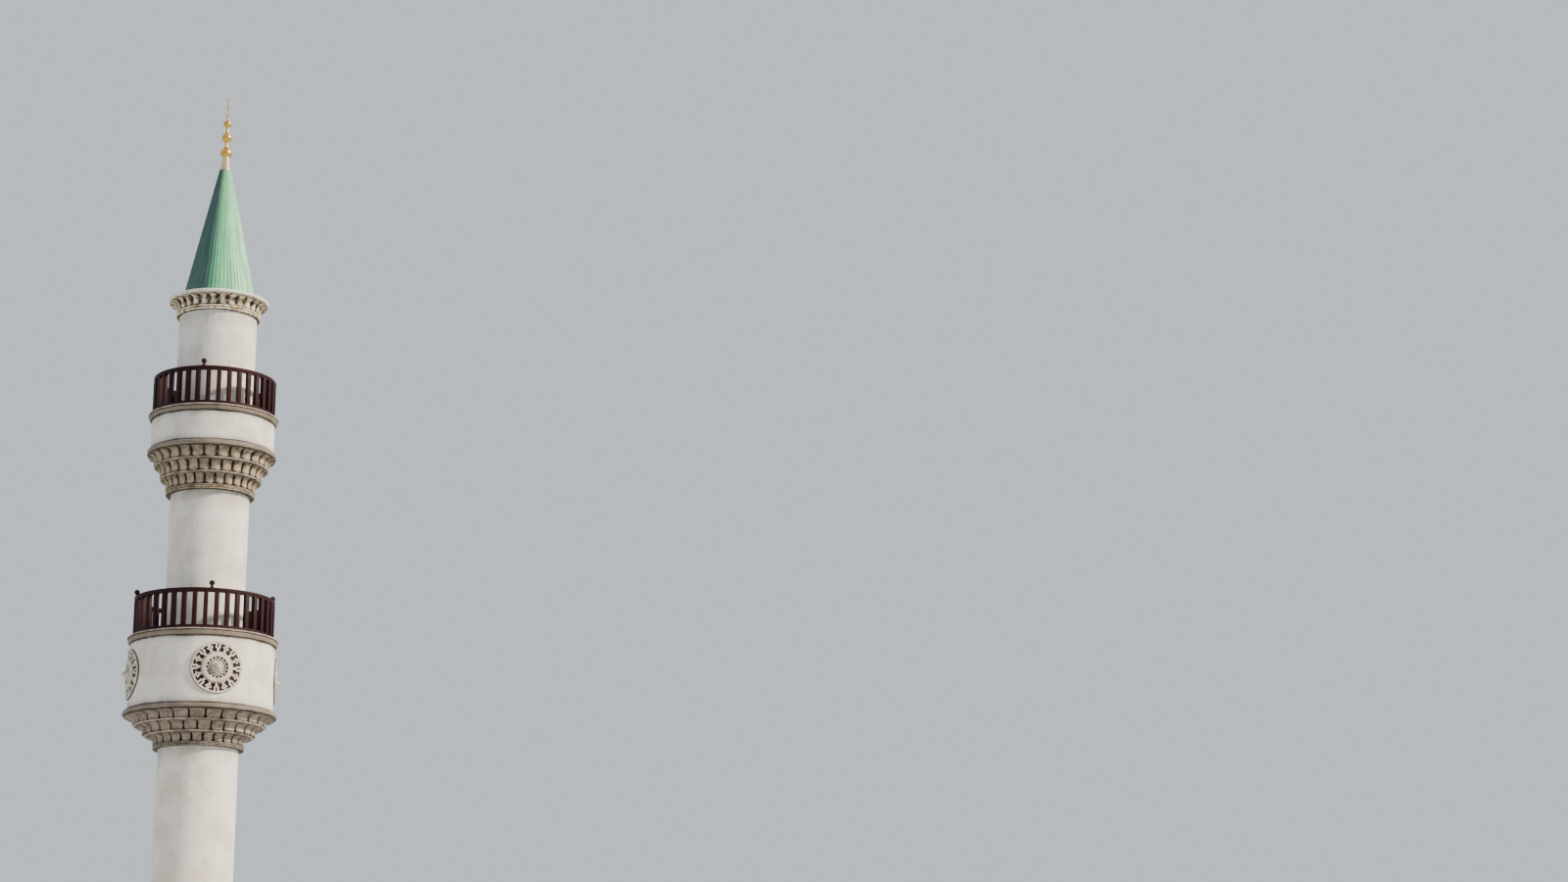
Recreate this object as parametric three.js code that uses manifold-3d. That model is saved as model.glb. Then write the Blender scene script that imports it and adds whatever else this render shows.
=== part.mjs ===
import * as THREE from 'three';
import { mergeVertices } from 'three/addons/utils/BufferGeometryUtils.js';
import Module from 'manifold-3d';

const wasm = await Module();
wasm.setup();

// Driving dimensions of the minaret, in millimetres, with +Z up and z = 0 at ground level.
// The front faces -Y. A bearing is an angle in degrees from the front, growing towards +X.
const ringSides = 36;
const seatGap = 0.3;

const shaft = {
  radius: 1000,
  wall: 300,
};

const baseSlab = {
  height: 200,
};

const doorway = {
  width: 740,
  springing: 1530,
};

const lowerBalcony = {
  name: 'lower',
  base: 8545,
  collar: { height: 105, radius: 1135 },
  corbels: { blocks: 26, slotWidth: 60, slotDepth: 90 },
  tiers: [
    { name: 'bottom', height: 255, wall: 1145, nose: 1300, ledge: 1350 },
    { name: 'middle', height: 255, wall: 1415, nose: 1590, ledge: 1625 },
    { name: 'top', height: 195, wall: 1670, nose: 1880 },
  ],
  torus: { height: 150, radius: 1925 },
  drum: { height: 1685, radius: 1815 },
  deck: { height: 180, radius: 1900 },
  railing: {
    radius: 1710,
    height: 1050,
    balusters: 40,
    balls: 4,
    firstBall: 5,
    panels: ['right', 'rear', 'left', 'front'],
  },
};

const upperBalcony = {
  name: 'upper',
  base: 15115,
  collar: { height: 125, radius: 1130 },
  corbels: { blocks: 28, slotWidth: 105, slotDepth: 60 },
  tiers: [
    { name: 'bottom', height: 315, wall: 1140, nose: 1262, ledge: 1290 },
    { name: 'middle', height: 330, wall: 1300, nose: 1433, ledge: 1455 },
    { name: 'top', height: 255, wall: 1467, nose: 1625 },
  ],
  torus: { height: 170, radius: 1647 },
  drum: { height: 755, radius: 1570 },
  deck: { height: 165, radius: 1670 },
  railing: {
    radius: 1512,
    height: 1028,
    balusters: 36,
    balls: 3,
    firstBall: -11.8,
    panels: ['front', 'right', 'rear', 'left'],
  },
};

const corbel = {
  firstGap: 4.7,
  ledge: 45,
  footHeight: 75,
};

const drumWall = 250;

const rail = {
  handrailWidth: 116,
  handrailHeight: 115,
  footWidth: 110,
  footHeight: 100,
  balusterSide: 110,
  neckRadius: 28,
  neckHeight: 50,
  ballRadius: 70,
};

const medallion = {
  radius: 650,
  discRadius: 384,
  plateRise: 45,
  discRise: 70,
  bossRadius: 143,
  bossTipRadius: 35,
  bossRise: 210,
  bossSeat: 12,
  firstBearing: 11.5,
  height: 10385,
  names: ['front', 'right', 'rear', 'left'],
};

const cornice = {
  base: 19920,
  collar: { height: 140, radius: 1085 },
  corbels: { blocks: 28, slotWidth: 90, slotDepth: 30 },
  tier: { name: 'blocks', height: 262, wall: 1080, nose: 1265 },
  slab: { height: 92, radius: 1303 },
};

const spire = {
  baseRadius: 953,
  topRadius: 163,
  height: 3690,
  shell: 80,
};

const finial = {
  neck: { height: 380, bottomRadius: 150, topRadius: 95 },
  rodRadius: 42,
  balls: [
    { name: 'large', radius: 152 },
    { name: 'middle', radius: 130 },
    { name: 'small', radius: 105 },
  ],
  rodLength: 165,
  crescent: { radius: 300, hollowRadius: 240, offset: 85, thickness: 60, stem: 60 },
};

const colours = {
  plaster: 0xcfc6b8,
  corbel: 0xb9a88e,
  moulding: 0xb4ab9b,
  slab: 0xd9d2c4,
  railing: 0x4b2622,
  roof: 0x6fa98c,
  gold: 0xc9972f,
};

function finish(colour, roughness, metalness) {
  return new THREE.MeshStandardMaterial({ color: colour, roughness, metalness });
}

function plaster() {
  return finish(colours.plaster, 0.9, 0);
}

function corbelStone() {
  return finish(colours.corbel, 0.9, 0);
}

function mouldingStone() {
  return finish(colours.moulding, 0.85, 0);
}

function gilt() {
  return finish(colours.gold, 0.3, 1);
}

// Closed solids and their joins

function solidFrom(geometry) {
  const bare = geometry.index ? geometry.toNonIndexed() : geometry.clone();
  bare.deleteAttribute('normal');
  bare.deleteAttribute('uv');
  const merged = mergeVertices(bare, 1e-3);
  const solid = new wasm.Manifold(new wasm.Mesh({
    numProp: 3,
    vertProperties: new Float32Array(merged.attributes.position.array),
    triVerts: new Uint32Array(merged.index.array),
  }));
  return solid;
}

function geometryFrom(solid) {
  const mesh = solid.getMesh();
  const geometry = new THREE.BufferGeometry();
  geometry.setAttribute('position', new THREE.BufferAttribute(new Float32Array(mesh.vertProperties), 3));
  geometry.setIndex(new THREE.BufferAttribute(new Uint32Array(mesh.triVerts), 1));
  return geometry;
}

function joined(solids) {
  return solids.reduce((whole, next) => whole.add(next));
}

function piece(name, solid, material) {
  const mesh = new THREE.Mesh(geometryFrom(solid), material);
  mesh.name = name;
  return mesh;
}

function radians(degrees) {
  return THREE.MathUtils.degToRad(degrees);
}

// A bearing of 0 looks out along -Y, so it lies a quarter turn behind the +X axis.
function turnOfBearing(bearing) {
  return radians(bearing - 90);
}

// Turns a closed outline of [radius, height] points round the Z axis. The outline runs
// anticlockwise, with radius to the right and height upwards.
function turned(outline, sides = ringSides, startTurn = 0) {
  const points = outline.map(([r, z]) => new THREE.Vector2(r, z));
  const closed = outline.at(-1)[0] === 0 && outline[0][0] === 0;
  if (!closed) {
    points.push(points[0].clone());
  }
  const geometry = new THREE.LatheGeometry(points, sides);
  geometry.rotateX(Math.PI / 2);
  geometry.rotateZ(startTurn);
  return solidFrom(geometry);
}

function ring(inner, outer, bottom, top) {
  return turned([[inner, bottom], [outer, bottom], [outer, top], [inner, top]]);
}

function arcPoints(centreX, centreY, radius, start, end, steps) {
  const points = [];
  for (let i = 0; i <= steps; i += 1) {
    const turn = start + (end - start) * i / steps;
    points.push([centreX + radius * Math.cos(turn), centreY + radius * Math.sin(turn)]);
  }
  return points;
}

function shapeOf(points) {
  return new THREE.Shape(points.map(([x, y]) => new THREE.Vector2(x, y)));
}

function prism(points, depth) {
  return new THREE.ExtrudeGeometry(shapeOf(points), { depth, bevelEnabled: false });
}

// A curved bar or wall between two bearings, short of each by half of the seat gap.
function arcBar(inner, outer, fromBearing, toBearing, bottom, height) {
  const stepAngle = 360 / ringSides;
  const steps = Math.round((toBearing - fromBearing) / stepAngle);
  const back = seatGap / 2;
  const edge = (radius, sign) => sign * back / radius;
  const start = turnOfBearing(fromBearing);
  const end = turnOfBearing(toBearing);
  const outside = arcPoints(0, 0, outer, start, end, steps);
  const inside = arcPoints(0, 0, inner, start, end, steps).reverse();
  const at = (radius, turn) => [radius * Math.cos(turn), radius * Math.sin(turn)];
  outside[0] = at(outer, start + edge(outer, 1));
  outside[steps] = at(outer, end + edge(outer, -1));
  inside[0] = at(inner, end + edge(inner, -1));
  inside[steps] = at(inner, start + edge(inner, 1));
  const geometry = prism([...outside, ...inside], height);
  geometry.translate(0, 0, bottom);
  return solidFrom(geometry);
}

// Moves a geometry made at the front, looking out along -Y, round to a bearing.
function atBearing(geometry, bearing) {
  return geometry.rotateZ(radians(bearing));
}

// The shaft, a round tube of four walls. The front and side walls run its whole height. The rear
// wall is divided at each doorway into two jambs and the wall over them, which has the round head.

function tube(bottom, top) {
  return ring(shaft.radius - shaft.wall, shaft.radius, bottom, top);
}

function uprightBlock(lengthX, lengthY, bottom, top) {
  const height = top - bottom;
  const block = new THREE.BoxGeometry(lengthX, lengthY, height);
  block.translate(0, 0, bottom + height / 2);
  return block;
}

// A square block with one upright edge by the axis that covers a quarter of the plan
function quarterBlock(bearing, bottom, top) {
  const side = 2 * shaft.radius;
  const block = uprightBlock(side, side, bottom, top);
  block.translate((side + seatGap) / 2, (side + seatGap) / 2, 0);
  block.rotateZ(turnOfBearing(bearing - 45));
  return solidFrom(block);
}

function quarterWall(bearing, bottom, top) {
  return tube(bottom, top).intersect(quarterBlock(bearing, bottom, top));
}

function doorCut(floor) {
  const half = doorway.width / 2;
  const head = arcPoints(0, doorway.springing, half, 0, Math.PI, 8);
  const outline = [[-half, 0], [half, 0], ...head];
  const depth = shaft.radius;
  const geometry = prism(outline, depth);
  geometry.rotateX(Math.PI / 2);
  geometry.translate(0, depth + shaft.radius / 4, floor);
  return solidFrom(geometry);
}

function doorJamb(floor, side) {
  const springing = floor + doorway.springing;
  const beside = uprightBlock(shaft.radius, 2 * shaft.radius, floor, springing);
  beside.translate(side * (doorway.width + shaft.radius) / 2, shaft.radius, 0);
  return quarterWall(180, floor, springing).intersect(solidFrom(beside));
}

function rearPieces(storey, door, floor, top) {
  const over = quarterWall(180, floor + doorway.springing, top).subtract(doorCut(floor));
  return [
    piece(`${door}_door_left_jamb`, doorJamb(floor, -1), plaster()),
    piece(`${door}_door_right_jamb`, doorJamb(floor, 1), plaster()),
    piece(`shaft_rear_${storey}`, over, plaster()),
  ];
}

function shaftPieces(floors, top) {
  const [ground, lower, upper] = floors;
  return [
    piece('shaft_front', quarterWall(0, ground, top), plaster()),
    piece('shaft_right', quarterWall(90, ground, top), plaster()),
    piece('shaft_left', quarterWall(270, ground, top), plaster()),
    ...rearPieces('lower', 'ground', ground, lower),
    ...rearPieces('middle', 'lower_balcony', lower, upper),
    ...rearPieces('upper', 'upper_balcony', upper, top),
  ];
}

// A tier of corbel blocks: a short upright wall that flares out in a hollow curve, with upright
// slots between the blocks, under a thin ledge where the tier has one. Its outline has one flat
// side to each block.

function hollowFlare(innerRadius, outerRadius, bottom, top, steps) {
  const reach = outerRadius - innerRadius;
  const rise = top - bottom;
  const points = [];
  for (let i = 0; i <= steps; i += 1) {
    const turn = (Math.PI / 2) * i / steps;
    points.push([innerRadius + reach * (1 - Math.cos(turn)), bottom + rise * Math.sin(turn)]);
  }
  return points;
}

// A many-sided ring whose flats, not its corners, lie at the outline's radii
function turnedFlats(outline, sides, firstCorner) {
  const corner = 1 / Math.cos(Math.PI / sides);
  return turned(outline.map(([r, z]) => [r * corner, z]), sides, radians(firstCorner));
}

function corbelTier(bottom, tier, { blocks, slotWidth, slotDepth }, halfPitches) {
  const pitch = 360 / blocks;
  const firstGap = corbel.firstGap + halfPitches * pitch / 2;
  const bore = shaft.radius + seatGap;
  const top = bottom + tier.height;
  const underLedge = tier.ledge ? top - corbel.ledge : top;
  const outline = [
    [bore, bottom],
    [tier.wall, bottom],
    ...hollowFlare(tier.wall, tier.nose, bottom + corbel.footHeight, underLedge, 3),
  ];
  if (tier.ledge) {
    outline.push([tier.ledge, underLedge], [tier.ledge, top]);
  }
  outline.push([bore, top]);
  let solid = turnedFlats(outline, blocks, firstGap);
  const slotHeight = underLedge - bottom;
  const slotLength = tier.nose;
  for (let i = 0; i < blocks; i += 1) {
    const slot = new THREE.BoxGeometry(slotWidth, slotLength, slotHeight);
    slot.translate(0, -(tier.wall - slotDepth + slotLength / 2), bottom + slotHeight / 2);
    solid = solid.subtract(solidFrom(atBearing(slot, firstGap + i * pitch)));
  }
  return solid;
}

function beadRing(bore, radius, bottom, height, beads) {
  const beadHeight = height / beads;
  const bulge = beadHeight / 2;
  const outline = [[bore, bottom]];
  for (let i = 0; i < beads; i += 1) {
    const bead = arcPoints(radius - bulge, bottom + beadHeight * i + bulge, bulge, -Math.PI / 2, Math.PI / 2, 2);
    outline.push(...(i === 0 ? bead : bead.slice(1)));
  }
  outline.push([bore, bottom + height]);
  return turned(outline);
}

function corbelling(balcony) {
  const bore = shaft.radius + seatGap;
  const collar = balcony.collar;
  const pieces = [];
  let bottom = balcony.base + collar.height;
  balcony.tiers.forEach((tier, i) => {
    let solid = corbelTier(bottom, tier, balcony.corbels, i % 2);
    if (i === 0) {
      solid = solid.add(beadRing(bore, collar.radius, balcony.base, collar.height, 2));
    }
    pieces.push(piece(`${balcony.name}_corbel_${tier.name}_tier`, solid, corbelStone()));
    bottom += tier.height;
  });
  return { pieces, top: bottom };
}

// Round mouldings, the drum wall and the deck slab with its moulded nose

function torusRing(bottom, balcony) {
  const { height, radius } = balcony.torus;
  const bulge = height / 2;
  const round = arcPoints(radius - bulge, bottom + bulge, bulge, -Math.PI / 2, Math.PI / 2, 4);
  const bore = shaft.radius + seatGap;
  return turned([[bore, bottom], ...round, [bore, bottom + height]]);
}

function deckSlab(bottom, balcony) {
  const { height, radius } = balcony.deck;
  const bore = shaft.radius + seatGap;
  const step = (radius - balcony.drum.radius) / 2;
  const lower = height * 0.4;
  const bulge = (height - lower) / 2;
  const round = arcPoints(radius - bulge, bottom + lower + bulge, bulge, -Math.PI / 2, Math.PI / 2, 3);
  return turned([
    [bore, bottom],
    [balcony.drum.radius + step / 2, bottom],
    [balcony.drum.radius + step, bottom + lower],
    ...round,
    [bore, bottom + height],
  ]);
}

// The railing: a foot rail, square balusters and a handrail, in equal panels that join halfway
// between two balusters, and balls on short necks at equal spacings round the handrail

function ballOnNeck(railing, bearing, deckTop) {
  const top = deckTop + railing.height;
  const centre = top + rail.neckHeight + rail.ballRadius;
  const opening = Math.asin(rail.neckRadius / rail.ballRadius);
  const ball = arcPoints(0, centre, rail.ballRadius, -Math.PI / 2 + opening, Math.PI / 2, 5);
  ball[ball.length - 1][0] = 0;
  const points = [
    [0, top - rail.handrailHeight / 2],
    [rail.neckRadius, top - rail.handrailHeight / 2],
    ...ball,
  ];
  const geometry = new THREE.LatheGeometry(points.map(([r, z]) => new THREE.Vector2(r, z)), 8);
  geometry.rotateX(Math.PI / 2);
  geometry.translate(0, -railing.radius, 0);
  return solidFrom(atBearing(geometry, bearing));
}

function railingPanel(railing, index, deckTop) {
  const span = 360 / railing.panels.length;
  const spacing = 360 / railing.balusters;
  const from = railing.firstBall - spacing + index * span;
  const to = from + span;
  const curved = (width, bottom, height) => arcBar(
    railing.radius - width / 2, railing.radius + width / 2, from, to, bottom, height);
  const foot = curved(rail.footWidth, deckTop, rail.footHeight);
  const handrailBottom = deckTop + railing.height - rail.handrailHeight;
  const handrail = curved(rail.handrailWidth, handrailBottom, rail.handrailHeight);
  const solids = [foot, handrail];
  const sink = 20;
  const bottom = deckTop + rail.footHeight - sink;
  const length = handrailBottom + sink - bottom;
  for (let i = 0; i < railing.balusters / railing.panels.length; i += 1) {
    const baluster = new THREE.BoxGeometry(rail.balusterSide, rail.balusterSide, length);
    baluster.translate(0, -railing.radius, bottom + length / 2);
    solids.push(solidFrom(atBearing(baluster, from + (i + 0.5) * spacing)));
  }
  for (let i = 0; i < railing.balls; i += 1) {
    const bearing = railing.firstBall + (i * 360) / railing.balls;
    if (bearing > from && bearing < to) {
      solids.push(ballOnNeck(railing, bearing, deckTop));
    }
  }
  return joined(solids);
}

// A round medallion that follows the drum's curve: a plate, a raised inner disc and a tapered boss

function roundCutter(radius, reach, bearing) {
  const geometry = new THREE.CylinderGeometry(radius, radius, reach, 24);
  geometry.translate(0, -reach / 2, medallion.height);
  return solidFrom(atBearing(geometry, bearing));
}

function medallionSolid(drumRadius, bearing) {
  const reach = 2 * drumRadius;
  const seat = drumRadius + seatGap;
  const half = medallion.radius + 10;
  const shell = (rise) => ring(seat, drumRadius + rise, medallion.height - half, medallion.height + half);
  const plate = shell(medallion.plateRise).intersect(roundCutter(medallion.radius, reach, bearing));
  const disc = shell(medallion.discRise).intersect(roundCutter(medallion.discRadius, reach, bearing));
  const boss = new THREE.CylinderGeometry(
    medallion.bossRadius, medallion.bossTipRadius, medallion.bossRise - medallion.bossSeat, 16);
  boss.translate(0, -drumRadius - (medallion.bossRise + medallion.bossSeat) / 2, medallion.height);
  return joined([plate, disc, solidFrom(atBearing(boss, bearing))]);
}

function medallions(drumRadius) {
  return medallion.names.map((name, i) => {
    const solid = medallionSolid(drumRadius, medallion.firstBearing + i * 90);
    return piece(`lower_medallion_${name}`, solid, mouldingStone());
  });
}

// A balcony, from its collar on the shaft up to the handrail

function balconyPieces(balcony) {
  const { pieces, top: torusBottom } = corbelling(balcony);
  const name = balcony.name;
  const drumBottom = torusBottom + balcony.torus.height;
  const deckBottom = drumBottom + balcony.drum.height;
  const deckTop = deckBottom + balcony.deck.height;
  const drumRadius = balcony.drum.radius;
  const drum = ring(drumRadius - drumWall, drumRadius, drumBottom, deckBottom);
  pieces.push(piece(`${name}_torus_moulding`, torusRing(torusBottom, balcony), mouldingStone()));
  pieces.push(piece(`${name}_drum`, drum, plaster()));
  pieces.push(piece(`${name}_deck`, deckSlab(deckBottom, balcony), mouldingStone()));
  balcony.railing.panels.forEach((side, i) => {
    const panel = railingPanel(balcony.railing, i, deckTop);
    pieces.push(piece(`${name}_railing_${side}`, panel, finish(colours.railing, 0.6, 0)));
  });
  return { pieces, deckTop };
}

// The cornice, the spire and the gilt finial

function cornicePieces() {
  const bore = shaft.radius + seatGap;
  const { base, collar, corbels, tier, slab } = cornice;
  const blocks = corbelTier(base + collar.height, tier, corbels, 1);
  const course = blocks.add(beadRing(bore, collar.radius, base, collar.height, 2));
  const slabBottom = base + collar.height + tier.height;
  const bulge = slab.height / 2;
  const rim = arcPoints(slab.radius - bulge, slabBottom + bulge, bulge, -Math.PI / 2, Math.PI / 2, 4);
  const disc = turned([[0, slabBottom], ...rim, [0, slabBottom + slab.height]]);
  const pieces = [
    piece('cornice_corbels', course, corbelStone()),
    piece('cornice_slab', disc, finish(colours.slab, 0.85, 0)),
  ];
  return { pieces, slabBottom, top: slabBottom + slab.height };
}

function spireCone(bottom) {
  const { baseRadius, topRadius, height, shell } = spire;
  const top = bottom + height;
  return turned([
    [baseRadius - shell, bottom],
    [baseRadius, bottom],
    [topRadius, top],
    [0, top],
    [0, top - 2 * shell],
    [topRadius - shell / 2, top - 2 * shell],
  ]);
}

function finialBall(centre, radius, seatHeight, seatRadius, rodTop) {
  const start = Math.asin((seatHeight - centre) / radius);
  const end = Math.acos(finial.rodRadius / radius);
  const round = arcPoints(0, centre, radius, start, end, 6);
  const outline = [[0, seatHeight]];
  if (seatRadius < round[0][0]) {
    outline.push([seatRadius, seatHeight]);
  }
  outline.push(...round, [finial.rodRadius, rodTop], [0, rodTop]);
  return turned(outline, 16);
}

function crescent(bottom) {
  const { radius, hollowRadius, offset, thickness, stem } = finial.crescent;
  const tipHeight = (radius ** 2 - hollowRadius ** 2 + offset ** 2) / (2 * offset);
  const tipReach = Math.sqrt(radius ** 2 - tipHeight ** 2);
  const outerTurn = Math.atan2(tipHeight, tipReach);
  const innerTurn = Math.atan2(tipHeight - offset, tipReach);
  const outside = arcPoints(0, 0, radius, Math.PI - outerTurn, 2 * Math.PI + outerTurn, 28);
  const inside = arcPoints(0, offset, hollowRadius, innerTurn + 2 * Math.PI, Math.PI - innerTurn, 24);
  const moon = prism([...outside, ...inside.slice(1, -1)], thickness);
  moon.translate(0, 0, -thickness / 2);
  moon.rotateX(Math.PI / 2);
  moon.rotateZ(Math.PI / 2);
  moon.translate(0, 0, bottom + stem + radius - 12);
  const foot = new THREE.CylinderGeometry(finial.rodRadius / 2, finial.rodRadius, stem, 12);
  foot.rotateX(Math.PI / 2);
  foot.translate(0, 0, bottom + stem / 2);
  return solidFrom(moon).add(solidFrom(foot));
}

function finialPieces(bottom) {
  const { neck, balls, rodLength } = finial;
  const neckTop = bottom + neck.height;
  const neckSolid = turned([
    [0, bottom],
    [neck.bottomRadius, bottom],
    [neck.topRadius, neckTop],
    [0, neckTop],
  ], 24);
  const pieces = [piece('finial_neck', neckSolid, gilt())];
  let seatHeight = neckTop;
  let seatRadius = neck.topRadius;
  for (const { name, radius } of balls) {
    const centre = seatHeight + Math.sqrt(radius ** 2 - seatRadius ** 2);
    const rodTop = centre + radius + (name === 'small' ? 0 : rodLength);
    const solid = finialBall(centre, radius, seatHeight, seatRadius, rodTop);
    pieces.push(piece(`finial_${name}_ball`, solid, gilt()));
    seatHeight = rodTop;
    seatRadius = finial.rodRadius;
  }
  pieces.push(piece('finial_crescent', crescent(seatHeight), gilt()));
  return pieces;
}

function baseDisc() {
  const edge = baseSlab.height;
  return turned([[0, 0], [shaft.radius, 0], [shaft.radius, edge], [0, edge]]);
}

const group = new THREE.Group();
const lower = balconyPieces(lowerBalcony);
const upper = balconyPieces(upperBalcony);
const crown = cornicePieces();
group.add(piece('base_slab', baseDisc(), plaster()));
group.add(...shaftPieces([baseSlab.height, lower.deckTop, upper.deckTop], crown.slabBottom));
group.add(...lower.pieces);
group.add(...medallions(lowerBalcony.drum.radius));
group.add(...upper.pieces);
group.add(...crown.pieces);
group.add(piece('spire_cone', spireCone(crown.top), finish(colours.roof, 0.55, 0.2)));
group.add(...finialPieces(crown.top + spire.height));

export default group;
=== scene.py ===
import math
import random

import bmesh
import bpy
from mathutils import Matrix, Vector


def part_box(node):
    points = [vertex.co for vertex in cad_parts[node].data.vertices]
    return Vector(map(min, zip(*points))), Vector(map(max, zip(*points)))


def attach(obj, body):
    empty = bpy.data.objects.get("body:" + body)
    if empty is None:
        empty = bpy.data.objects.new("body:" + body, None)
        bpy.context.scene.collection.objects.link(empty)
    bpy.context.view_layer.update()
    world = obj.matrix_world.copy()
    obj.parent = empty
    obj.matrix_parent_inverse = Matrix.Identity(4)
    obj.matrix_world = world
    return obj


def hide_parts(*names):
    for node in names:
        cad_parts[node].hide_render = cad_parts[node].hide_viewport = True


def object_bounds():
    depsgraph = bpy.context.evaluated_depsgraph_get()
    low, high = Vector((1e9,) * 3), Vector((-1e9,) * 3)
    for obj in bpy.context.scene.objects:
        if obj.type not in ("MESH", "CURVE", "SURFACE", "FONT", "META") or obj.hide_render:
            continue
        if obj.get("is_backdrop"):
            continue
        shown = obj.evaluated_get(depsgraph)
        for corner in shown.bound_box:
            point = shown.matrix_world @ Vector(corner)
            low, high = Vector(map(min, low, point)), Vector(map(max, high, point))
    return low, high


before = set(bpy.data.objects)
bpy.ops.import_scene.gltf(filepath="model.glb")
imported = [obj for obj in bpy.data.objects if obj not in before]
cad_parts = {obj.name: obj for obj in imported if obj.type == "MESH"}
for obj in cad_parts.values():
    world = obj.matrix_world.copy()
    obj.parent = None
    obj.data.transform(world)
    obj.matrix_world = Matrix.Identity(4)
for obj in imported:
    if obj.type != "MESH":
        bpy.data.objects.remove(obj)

bl_info = {
    "name": "Minaret",
    "version": (1, 0, 0),
    "blender": (4, 5, 0),
    "location": "3D View > Sidebar > Minaret",
    "description": "A plastered minaret with two corbelled balconies and a green spire",
    "category": "Add Mesh",
}

# Metres, with z = 0 at ground level. The front faces -Y. A bearing is an angle in degrees from
# the front, growing towards +X.
CAD_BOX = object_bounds()
MILLIMETRE = 0.001
SEAT_GAP = 0.3 * MILLIMETRE
ROUND_STEPS = 144
AXES = {"Y": (0, 1, 0), "Z": (0, 0, 1)}
BALCONIES = ("lower", "upper")
TIERS = ("bottom", "middle", "top")
BALLS = ("large", "middle", "small")
MEDALLIONS = ("front", "right", "rear", "left")
# Each doorway, with the storey of the rear wall that stands over it
DOORWAYS = {"ground": "lower", "lower_balcony": "middle", "upper_balcony": "upper"}
# The panels of each railing, in the order of their bearings
PANELS = {"lower": ("right", "rear", "left", "front"), "upper": ("front", "right", "rear", "left")}


def bottom_of(node):
    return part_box(node)[0].z


def top_of(node):
    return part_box(node)[1].z


def reach_of(node):
    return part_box(node)[1].x


def linear(hex_colour):
    """An sRGB hex colour as linear red, green, blue and alpha."""
    values = []
    for start in (0, 2, 4):
        value = int(hex_colour[start:start + 2], 16) / 255
        values.append(value / 12.92 if value <= 0.04045 else ((value + 0.055) / 1.055) ** 2.4)
    return (*values, 1.0)


# Properties

def length(name, description, default):
    return bpy.props.FloatProperty(
        name=name, description=description, default=default, min=0.0, unit="LENGTH", subtype="DISTANCE")


def lengths(name, description, default):
    return bpy.props.FloatVectorProperty(
        name=name, description=description, default=default, size=len(default), min=0.0, unit="LENGTH")


def bearing(name, description, default):
    return bpy.props.FloatProperty(
        name=name, description=description, default=math.radians(default), unit="ROTATION", subtype="ANGLE")


def count(name, description, default):
    return bpy.props.IntProperty(name=name, description=description, default=default, min=1)


def share(name, description, default):
    return bpy.props.FloatProperty(
        name=name, description=description, default=default, min=0.0, max=1.0, subtype="FACTOR")


def colour(name, description, default):
    return bpy.props.FloatVectorProperty(
        name=name, description=description, default=linear(default), size=4, min=0.0, max=1.0,
        subtype="COLOR")


class ShaftSizes(bpy.types.PropertyGroup):
    """Sizes of the round shaft"""
    radius: length("Radius", "Outside radius of the shaft", reach_of("base_slab"))
    wall: length("Wall", "Thickness of the shaft's wall", 0.3)
    door_width: length("Doorway width", "Clear width of each doorway at the rear", 0.74)
    door_springing: length("Doorway springing", "Height where the doorway's round head starts", 1.53)


def corbelling_sizes(i):
    """Sizes that the lower balcony, the upper balcony and the cornice all have, in this order."""
    return {
        "blocks": count("Blocks", "Corbel blocks in each tier", (26, 28, 28)[i]),
        "gap": length("Gap", "Width of the gap between two blocks", (0.055, 0.060, 0.056)[i]),
        "gap_depth": length("Gap depth", "Depth of the gap between two blocks", (0.10, 0.06, 0.034)[i]),
        "bow": length("Bow", "How far a block's face stands out from its sides", (0.030, 0.040, 0.035)[i]),
        "notch": length("Notch", "How much each block steps back at its foot", (0.020, 0.046, 0.022)[i]),
        "collar_radius": length("Collar radius", "Radius of the beads at the foot", (1.135, 1.13, 1.085)[i]),
        "collar_height": length("Collar height", "Height of the beads at the foot", (0.105, 0.125, 0.14)[i]),
        "beads": count("Beads", "Beads in the collar", (3, 3, 2)[i]),
        # These two shares darken with sooting and painted shade: a veil under the ledges or the slab, and
        # the back of the gaps
        "soot": share("Soot", "Soot under the ledges or the slab", (0.45, 0.5, 0.30)[i]),
        "gap_soot": share("Soot in gaps", "Soot at the back of the gaps", (0.9, 0.6, 0.85)[i]),
    }


def balcony_sizes(i):
    """All the sizes of the lower balcony or of the upper one."""
    walls = ((1.145, 1.415, 1.670), (1.140, 1.300, 1.467))[i]
    noses = ((1.300, 1.590, 1.880), (1.262, 1.433, 1.625))[i]
    ledges = ((1.338, 1.613), (1.290, 1.455))[i]
    return {
        **corbelling_sizes(i),
        "walls": lengths("Walls", "Radius at the foot of each tier", walls),
        "noses": lengths("Noses", "Radius at the top of each tier's blocks", noses),
        "ledges": lengths("Ledges", "Radius of the ledge over the bottom and middle tier", ledges),
        "ledge_height": length("Ledge height", "Thickness of a ledge", (0.042, 0.034)[i]),
        "lobe": length("Lobe", "How far each ledge swells out between two cusps", (0.038, 0.0)[i]),
        "baluster_count": count("Balusters", "Balusters in the whole railing", (40, 36)[i]),
        "balls": count("Balls", "Balls round the handrail", (4, 3)[i]),
        "rail_radius": length("Rail radius", "Radius of the railing's centre line", (1.71, 1.512)[i]),
        "first_ball": bearing("First ball", "Bearing of the first ball on the handrail", (5.0, -11.8)[i]),
    }


def sizes_group(name, description, sizes):
    """A property group of sizes, under the name of its class."""
    return type(name, (bpy.types.PropertyGroup,), {"__doc__": description, "__annotations__": sizes})


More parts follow.
